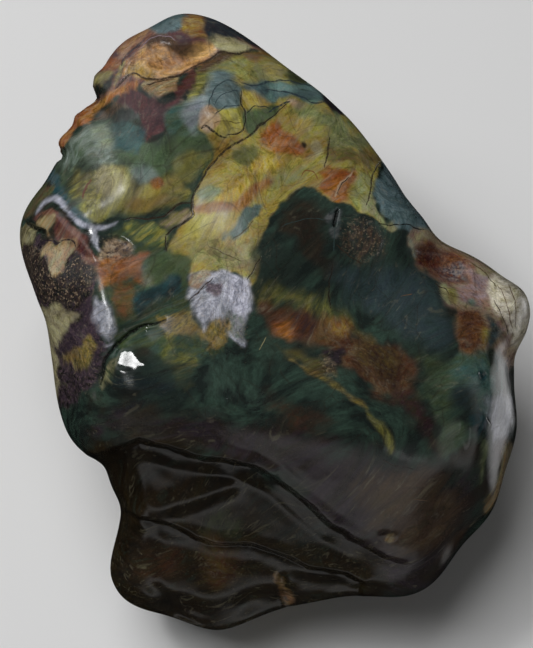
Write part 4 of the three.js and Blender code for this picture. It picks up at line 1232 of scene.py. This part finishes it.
def crisp_forms(places):
    """How far each vertex moves out towards the viewer, in mm."""
    u, v, w = front_coordinates(places)
    moved = np.zeros(len(places))
    sway = with_noise(0.0, places, RIM_SWAY)
    for _, soft, crisp, line in LEDGES:
        above, drop = ledge_height(u, v, line)
        depth_share = smoothstep(w + drop * 0.5, 0.0, LEDGE_FADE)
        step = smoothstep(above + sway, -crisp, crisp) - smoothstep(above, -soft, soft)
        moved += np.where(step > 0.0, RIM_LIFT * step, step) * drop * depth_share
    lobe = smoothstep(-v, *LOBE_SPAN) * smoothstep(w, *LOBE_TURN)
    moved += LOBE_LIFT * lobe
    for _, depth, rim, outline in HOLLOWS:
        near, distance = patch_distances(PHOTO_X, PHOTO_Y, outline, HOLLOW_LIP)
        moved[near] -= depth * smoothstep(distance, -HOLLOW_LIP, rim)
    for _, towards, outline in FLATS:
        near, distance = patch_distances(PHOTO_X, PHOTO_Y, outline, FLAT_BLEND)
        lean = np.array(towards) / np.linalg.norm(towards) + (0.0, 0.0, 1.0)
        share = smoothstep(distance, -FLAT_BLEND, 0.0) * FRONT_SHARE[near]
        core = near[share > FLAT_CORE]
        rise = (u[near] - u[core].mean()) * lean[0] + (v[near] - v[core].mean()) * lean[1]
        moved[near] += (w[core].mean() - rise / lean[2] - w[near]) * share
    grainy = surface_finish()[:, 2]
    moved += grainy * GRAIN_LIFT * with_noise(0.0, places, GRAIN_LAYERS)
    return moved * smoothstep(FRONT_SHARE, FORMS_FROM, 1.0)


def cut_grooves(places):
    """The places with a groove pressed in along each of the wide cracks."""
    pressed = np.zeros(len(places))
    for _, _, half_width, depth, points in LINES:
        if half_width < GROOVE_FROM:
            continue
        near, distance, taper = line_distances(PHOTO_X, PHOTO_Y, points)
        groove = depth * taper * (1.0 - smoothstep(np.abs(distance), 0.0, half_width * GROOVE_WIDER))
        pressed[near] = np.where(np.abs(groove) > np.abs(pressed[near]), groove, pressed[near])
    return places - normals * (pressed * FRONT_SHARE)[:, None]


smooth_places = places
places = places + np.outer(crisp_forms(places), OUT)
normals = vertex_normals(places, faces)
places = cut_grooves(places)

# The flat spot: the skin up to PRESS_REACH is pressed a little down, in mm, and cut off level.
PRESS_DEPTH = 0.25
PRESS_REACH = 4.0
places[:, 2] -= PRESS_DEPTH * (1.0 - smoothstep(places[:, 2], 0.0, PRESS_REACH))
places[:, 2] = np.maximum(places[:, 2], 0.0)


def make_object(name, points, triangles):
    """A smooth object in the scene from places in mm and triangles."""
    mesh = bpy.data.meshes.new(name)
    mesh.from_pydata((points * MM).tolist(), [], triangles.tolist())
    mesh.polygons.foreach_set("use_smooth", [True] * len(mesh.polygons))
    mesh.update()
    obj = bpy.data.objects.new(name, mesh)
    bpy.context.scene.collection.objects.link(obj)
    return obj


stone = make_object("jasper_stone", places, faces)
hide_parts("stone")
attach(stone, "root")


def store(name, values):
    """Keeps values with the vertices, as colours where they are in fours and else as vectors."""
    kind, field = ("FLOAT_COLOR", "color") if values.shape[1] == 4 else ("FLOAT_VECTOR", "vector")
    layer = stone.data.attributes.new(name, kind, "POINT")
    layer.data.foreach_set(field, np.ascontiguousarray(values, dtype=np.float32).ravel())


first_paint, second_paint = painted_front()
store("first", first_paint)
store("second", second_paint)
lines = line_layers()
for number, layer in enumerate(lines):
    store(f"trace_{number}", layer.trace)
    store(f"ink_{number}", layer.ink)
store("finish", surface_finish())
store("place", smooth_places)
store("flow", flowing(smooth_places))

# The material

# How the two colours of a patch are varied: how strongly dark and pale wisps show, the ranges of
# its hue, saturation and light, and how many growth rings there are and how strongly they show
DARK_WISPS = 0.4
PALE_WISPS = 0.15
TONE_HUE = (0.488, 0.512)
TONE_SATURATION = (1.1, 0.8)
TONE_LIGHT = (0.74, 1.24)
RING_RATE = 62.0
RING_LIGHT = 0.09

# The mineral texture over all of it: ranges of light, and how strongly the rest shows
FINE_LIGHT = (0.91, 1.09)
FLECK_LIGHT = (0.90, 1.11)
THREADS = 0.35
SPECKS = 0.15
PALE_GRAINS = 0.6
DARK_GRAINS = 0.85

# How strongly eggs and veins show in the rest of the stone, brown parts in the dark ground, and
# fine mottling in both; and how many rings an egg has in a cell
EGGS = 0.8
VEINS = 0.8
BROWN_PARTS = 0.8
FINE_MOTTLE = 0.35
EGG_RINGS = 2.6

# Heights in the bump, in mm, and the share of a line's depth that it has
FINE_RELIEF = 0.005
WAVE_RELIEF = 0.14
GRAIN_RELIEF = 0.10
PIT_RELIEF = 0.02
LINE_RELIEF = 0.25

# The polish: its roughness, what smudges add to it, and the refraction of quartz
POLISH = 0.1
SMUDGES = 0.1
QUARTZ_IOR = 1.54

material = bpy.data.materials.new("jasper")
material.use_nodes = True
# The helpers below add their nodes to this tree: the stone's first, and later the world's.
tree = material.node_tree
shader = tree.nodes["Principled BSDF"]


def fed(node, **sockets):
    """Sets or links a node's inputs, named as the sockets are, and gives the node back."""
    for name, value in sockets.items():
        index = name.replace("_", " ") if not name[1:].isdigit() else int(name[1:])
        socket = node.inputs[index]
        if isinstance(value, bpy.types.NodeSocket):
            tree.links.new(value, socket)
        else:
            socket.default_value = value
    return node


def attribute(name):
    """A node that reads what is kept with the vertices."""
    node = tree.nodes.new("ShaderNodeAttribute")
    node.attribute_name = name
    return node


def calculate(operation, first, second=0.0, third=0.0):
    """A sum or other operation on one to three numbers."""
    node = tree.nodes.new("ShaderNodeMath")
    node.operation = operation
    return fed(node, i0=first, i1=second, i2=third).outputs[0]


def ramp(value, low, high, to_low=0.0, to_high=1.0, smooth=True):
    """The value carried from the range low to high over to the range to_low to to_high."""
    node = tree.nodes.new("ShaderNodeMapRange")
    node.interpolation_type = "SMOOTHSTEP" if smooth else "LINEAR"
    return fed(node, i0=value, i1=low, i2=high, i3=to_low, i4=to_high).outputs[0]


def mixed(share, first, second):
    """The first colour with this share of the second."""
    node = tree.nodes.new("ShaderNodeMix")
    node.data_type = "RGBA"
    return fed(node, i0=share, i6=first, i7=second).outputs[2]


def shaded(base, light, hue=0.5, saturation=1.0):
    """The colour with its light, and its hue and saturation, changed."""
    node = tree.nodes.new("ShaderNodeHueSaturation")
    return fed(node, Hue=hue, Saturation=saturation, Value=light, Color=base).outputs[0]


def channels(name):
    """The three numbers that an attribute keeps as a colour."""
    source = attribute(name)
    return fed(tree.nodes.new("ShaderNodeSeparateColor"), i0=source.outputs["Color"]).outputs


def noise(place, scale, detail=2.0, roughness=0.5, distortion=0.0):
    """Noise with features of about 1 / scale, at a place in mm."""
    node = tree.nodes.new("ShaderNodeTexNoise")
    fed(node, Vector=place, Scale=scale, Detail=detail, Roughness=roughness, Distortion=distortion)
    return node.outputs["Fac"]


def cells(place, scale, feature="F1"):
    """The distance from a place in mm to the middle of its cell, or to the cell's edge."""
    node = tree.nodes.new("ShaderNodeTexVoronoi")
    node.feature = feature
    return fed(node, Vector=place, Scale=scale).outputs["Distance"]


def rgba(name):
    """The same with full opacity, as a shader's socket takes it."""
    return (*colour(name), 1.0)


mm_place = attribute("place").outputs["Vector"]
flow_place = attribute("flow").outputs["Vector"]
edge_noise = ramp(noise(mm_place, 0.55, 3.0, 0.6), 0.25, 0.75, -1.0, 1.0, smooth=False)
fine_noise = noise(mm_place, 2.4, 3.0, 0.65)
coarse_noise = noise(flow_place, 0.24, 3.0, 0.55)
coarse_mottle = ramp(coarse_noise, 0.36, 0.64)
fine_mottle = ramp(noise(flow_place, 0.9, 3.0, 0.6), 0.38, 0.62)

# The rest of the stone: eggs and bands of the same colours, folded through each other
band_noise = noise(flow_place, 0.055, 3.0, 0.5, 0.8)
bands = fed(tree.nodes.new("ShaderNodeValToRGB"), Fac=band_noise)
BAND_STOPS = [
    (0.0, "green black"), (0.30, "dark green"), (0.36, "deep teal"), (0.40, "slate"),
    (0.425, "moss"), (0.45, "green black"), (0.50, "dark green"), (0.535, "olive brown"),
    (0.555, "yellow olive"), (0.585, "ochre"), (0.61, "rust"), (0.635, "maroon"),
    (0.67, "dark brown"), (0.72, "moss"), (0.80, "green black"),
]
stops = bands.color_ramp.elements
while len(stops) < len(BAND_STOPS):
    stops.new(0.5)
for stop, (position, name) in zip(stops, BAND_STOPS):
    stop.position = position
    stop.color = rgba(name)
egg_distance = cells(flow_place, 0.085)
egg_rings = ramp(calculate("FRACT", calculate("MULTIPLY", egg_distance, EGG_RINGS)), 0.35, 0.75)
egg_colour = mixed(egg_rings, rgba("dark green"), rgba("olive"))
egg_share = calculate("MULTIPLY", ramp(noise(mm_place, 0.035, 1.0), 0.5, 0.62), EGGS)
behind = mixed(egg_share, bands.outputs["Color"], egg_colour)
behind = mixed(calculate("MULTIPLY", fine_mottle, FINE_MOTTLE), behind, rgba("umber"))
vein_distance = cells(flow_place, 0.11, "DISTANCE_TO_EDGE")
vein_share = calculate("MULTIPLY", ramp(vein_distance, 0.0, 0.045, 1.0, 0.0), VEINS)
behind = mixed(vein_share, behind, rgba("umber"))

# The dark ground of the front
dark_ground = mixed(coarse_mottle, rgba("green black"), rgba("belly green"))
brown_share = calculate("MULTIPLY", ramp(noise(mm_place, 0.07, 3.0), 0.5, 0.68), BROWN_PARTS)
dark_ground = mixed(brown_share, dark_ground, rgba("dark brown"))
dark_ground = mixed(calculate("MULTIPLY", fine_mottle, FINE_MOTTLE), dark_ground, rgba("black"))

front, extra_roughness, grain = channels("finish")
base = mixed(front, behind, dark_ground)

# The painted patches: two colours mottled together, dark and pale wisps, and growth rings
first = attribute("first")
second = attribute("second")
blend = tree.nodes.new("ShaderNodeMix")
fed(blend, i0=second.outputs["Alpha"], i2=coarse_mottle, i3=fine_mottle)
tone = mixed(blend.outputs[0], first.outputs["Color"], second.outputs["Color"])
wisp_noise = noise(flow_place, 0.5, 3.5, 0.58, 1.2)
dark_wisps = calculate("MULTIPLY", ramp(wisp_noise, 0.33, 0.45, 1.0, 0.0), DARK_WISPS)
tone = mixed(dark_wisps, tone, rgba("dark green"))
pale_wisps = calculate("MULTIPLY", ramp(wisp_noise, 0.58, 0.7), PALE_WISPS)
tone = mixed(pale_wisps, tone, rgba("khaki"))
blot_noise = noise(flow_place, 0.22, 2.0, 0.5, 0.5)
tone_hue = ramp(blot_noise, 0.3, 0.7, *TONE_HUE)
tone_saturation = ramp(wisp_noise, 0.3, 0.7, *TONE_SATURATION)
rings = calculate("SINE", calculate("MULTIPLY", blot_noise, RING_RATE))
tone_light = calculate("MULTIPLY_ADD", rings, RING_LIGHT, ramp(blot_noise, 0.3, 0.7, *TONE_LIGHT))
tone = shaded(tone, tone_light, tone_hue, tone_saturation)
base = mixed(calculate("MULTIPLY", first.outputs["Alpha"], front), base, tone)

# Mineral texture over all of it: fine light and dark, thin healed cracks and sparse bright specks
base = shaded(base, ramp(fine_noise, 0.3, 0.7, *FINE_LIGHT, smooth=False))
thread_distance = cells(flow_place, 0.2, "DISTANCE_TO_EDGE")
thread_share = calculate("MULTIPLY", ramp(thread_distance, 0.0, 0.022, 1.0, 0.0), THREADS)
base = mixed(thread_share, base, rgba("umber"))
speck_distance = cells(mm_place, 0.7)
speck_size = calculate("MULTIPLY_ADD", fine_noise, 0.4, -0.18)
speck_share = ramp(calculate("SUBTRACT", speck_size, speck_distance), -0.02, 0.02)
base = mixed(calculate("MULTIPLY", speck_share, SPECKS), base, rgba("khaki"))
base = shaded(base, ramp(noise(mm_place, 3.2, 2.0, 0.6), 0.3, 0.7, *FLECK_LIGHT))
grain_noise = noise(mm_place, 2.0, 3.0, 0.7)
pale_grains = calculate("MULTIPLY", ramp(grain_noise, 0.56, 0.62), grain)
base = mixed(calculate("MULTIPLY", pale_grains, PALE_GRAINS), base, rgba("pink beige"))
dark_grains = calculate("MULTIPLY", ramp(grain_noise, 0.40, 0.46, 1.0, 0.0), grain)
base = mixed(calculate("MULTIPLY", dark_grains, DARK_GRAINS), base, rgba("dark purple"))

# The lines: broken ink that narrows at its ends, sunk a little in the bump
height = calculate("MULTIPLY", fine_noise, FINE_RELIEF)
broken = ramp(fine_noise, 0.36, 0.52, 0.35, 0.95)
for number in range(len(lines)):
    distance, width, depth = channels(f"trace_{number}")
    wobble = calculate("ABSOLUTE", calculate("MULTIPLY_ADD", edge_noise, 0.4, distance))
    low_width = calculate("MULTIPLY", width, 0.3)
    mask = ramp(wobble, low_width, calculate("ADD", width, 0.15), 1.0, 0.0)
    mask = calculate("MULTIPLY", mask, ramp(width, 0.05, 0.4))
    mask = calculate("MULTIPLY", mask, front)
    ink = attribute(f"ink_{number}").outputs["Color"]
    base = mixed(calculate("MULTIPLY", mask, broken), base, ink)
    drop = calculate("MULTIPLY", calculate("MULTIPLY", mask, depth), LINE_RELIEF)
    height = calculate("SUBTRACT", height, drop)

tree.links.new(base, shader.inputs["Base Color"])

# A hand polish: glossy, with faint waves and pits, and matt in the grainy places
wave_height = calculate("MULTIPLY", noise(mm_place, 0.16, 2.0), WAVE_RELIEF)
grain_height = calculate("MULTIPLY", calculate("MULTIPLY", grain_noise, grain), GRAIN_RELIEF)
pit_size = ramp(noise(mm_place, 0.2, 1.0), 0.55, 0.75, 0.0, 0.16)
pit_distance = calculate("SUBTRACT", cells(mm_place, 0.7), pit_size)
pit_height = calculate("MULTIPLY", ramp(pit_distance, -0.06, 0.02), PIT_RELIEF)
for part_height in (wave_height, grain_height, pit_height):
    height = calculate("ADD", height, part_height)
bump = tree.nodes.new("ShaderNodeBump")
fed(bump, Strength=1.0, Distance=MM, Height=height)
tree.links.new(bump.outputs["Normal"], shader.inputs["Normal"])

smudge = ramp(noise(mm_place, 0.3, 4.0, 0.7), 0.35, 0.7, 0.0, SMUDGES)
roughness = calculate("ADD", calculate("ADD", smudge, extra_roughness), POLISH)
tree.links.new(roughness, shader.inputs["Roughness"])
shader.inputs["IOR"].default_value = QUARTZ_IOR
stone.data.materials.append(material)

# The camera

# What is nearer or farther than this isn't drawn, in m.
CLIP = (0.01, 20.0)

camera_data = bpy.data.cameras.new("camera")
camera_data.sensor_fit = "AUTO"
camera_data.sensor_width = SENSOR
camera_data.lens = PIXELS_PER_MM * CAMERA_DISTANCE * SENSOR / PHOTO_HEIGHT
camera_data.clip_start, camera_data.clip_end = CLIP
camera = bpy.data.objects.new("camera", camera_data)
bpy.context.scene.collection.objects.link(camera)
bpy.context.scene.camera = camera
camera_place = FRONT_MIDDLE + ACROSS * FRAME_SHIFT[0] + UP * FRAME_SHIFT[1] + OUT * CAMERA_DISTANCE


def aligned(place, across, up, out):
    """A matrix at a place in mm, with its X, Y and Z along the three directions."""
    matrix = Matrix.Identity(4)
    for column, direction in enumerate((across, up, out)):
        for row in range(3):
            matrix[row][column] = float(direction[row])
    for row in range(3):
        matrix[row][3] = float(place[row] * MM)
    return matrix


camera.matrix_world = aligned(camera_place, ACROSS, UP, OUT)

# Floor, lights and world

# The floor reaches this far each way in mm. The stone doesn't mirror it.
FLOOR_REACH = 3000.0
FLOOR_COLOUR = (0.8, 0.8, 0.8, 1.0)
FLOOR_ROUGHNESS = 0.9


def make_floor():
    """A wide pale floor under the stone."""
    corners = np.array([[-1, -1, 0], [1, -1, 0], [1, 1, 0], [-1, 1, 0]]) * FLOOR_REACH
    floor = make_object("floor", corners, np.array([[0, 1, 2], [0, 2, 3]]))
    paint = bpy.data.materials.new("floor_paint")
    paint.use_nodes = True
    sockets = paint.node_tree.nodes["Principled BSDF"].inputs
    sockets["Base Color"].default_value = FLOOR_COLOUR
    sockets["Roughness"].default_value = FLOOR_ROUGHNESS
    floor.data.materials.append(paint)
    floor.visible_glossy = False


def area_light(name, towards, distance, width, height, power, aim=(0.0, 0.0, 0.0)):
    """A soft box. towards leads from the aimed point to the light; both are (across, up, out)."""
    direction = np.array(towards, dtype=float)
    direction /= np.linalg.norm(direction)
    out = ACROSS * direction[0] + UP * direction[1] + OUT * direction[2]
    target = FRONT_MIDDLE + ACROSS * aim[0] + UP * aim[1] + OUT * aim[2]
    side = np.cross(np.array([0.0, 0.0, 1.0]), out)
    side /= np.linalg.norm(side)
    data = bpy.data.lights.new(name, "AREA")
    data.shape = "RECTANGLE"
    data.size = width * MM
    data.size_y = height * MM
    data.energy = power
    light = bpy.data.objects.new(name, data)
    light.matrix_world = aligned(target + out * distance, side, np.cross(out, side), out)
    bpy.context.scene.collection.objects.link(light)
    return light


make_floor()
area_light("window", WINDOW_WAY, distance=900, width=140, height=110, power=1.3, aim=(-27, -8, 10))
low_way = (0.55, -0.53, 0.65)
area_light("low_right", low_way, distance=900, width=100, height=130, power=0.025, aim=(38, -23, 10))
fill = area_light("fill", (-0.35, 0.55, 0.75), distance=1100, width=900, height=900, power=9)
fill.visible_glossy = False

# The world is a dark room.
ROOM_LIGHT = 0.05
# A pale wall stands low in front of the stone: its light, the way to it, the heights over which it
# ends, and how closely a direction points to it from its sides on, as cosines.
WALL_LIGHT = 0.5
WALL_WAY = (0.35, -0.94, 0.0)
WALL_TOP = (0.10, 0.52)
WALL_SIDES = (0.2, 0.75)
# Room and wall fade to a small share over these heights at the horizon.
HORIZON = (-0.14, 0.06)
BELOW_SHARE = 0.06

# Soft glows: the way to each (across, up, out), its strength, and the angles in degrees from its
# middle where it is still full and where it ends
GLOWS = [
    ((-0.66, 0.74, 0.10), 0.8, 8, 34),
    ((0.57, 0.10, -0.81), 1.1, 3, 14),
    ((0.80, -0.12, -0.58), 1.0, 5, 20),
]


def facing(direction, way):
    """How closely a direction points along a way, as a cosine."""
    node = tree.nodes.new("ShaderNodeVectorMath")
    node.operation = "DOT_PRODUCT"
    return fed(node, i0=direction, i1=way).outputs["Value"]


world = bpy.data.worlds.new("studio")
bpy.context.scene.world = world
world.use_nodes = True
tree = world.node_tree
direction = tree.nodes.new("ShaderNodeTexCoord").outputs["Generated"]
height = fed(tree.nodes.new("ShaderNodeSeparateXYZ"), i0=direction).outputs["Z"]
foot = ramp(height, *HORIZON, BELOW_SHARE, 1.0)
wall = calculate("MULTIPLY", ramp(height, *WALL_TOP, WALL_LIGHT, 0.0), foot)
wall_share = ramp(facing(direction, WALL_WAY), *WALL_SIDES)
room = calculate("MULTIPLY", foot, ROOM_LIGHT)
light = calculate("MULTIPLY_ADD", wall, wall_share, room)
for way, strength, core, edge in GLOWS:
    glow_way = tuple(ACROSS * way[0] + UP * way[1] + OUT * way[2])
    closeness = [math.cos(math.radians(angle)) for angle in (edge, core)]
    glow = ramp(facing(direction, glow_way), *closeness, 0.0, strength)
    light = calculate("ADD", light, glow)
fed(tree.nodes["Background"], Color=(1.0, 1.0, 1.0, 1.0), Strength=light)

bpy.context.scene.view_settings.view_transform = "Standard"
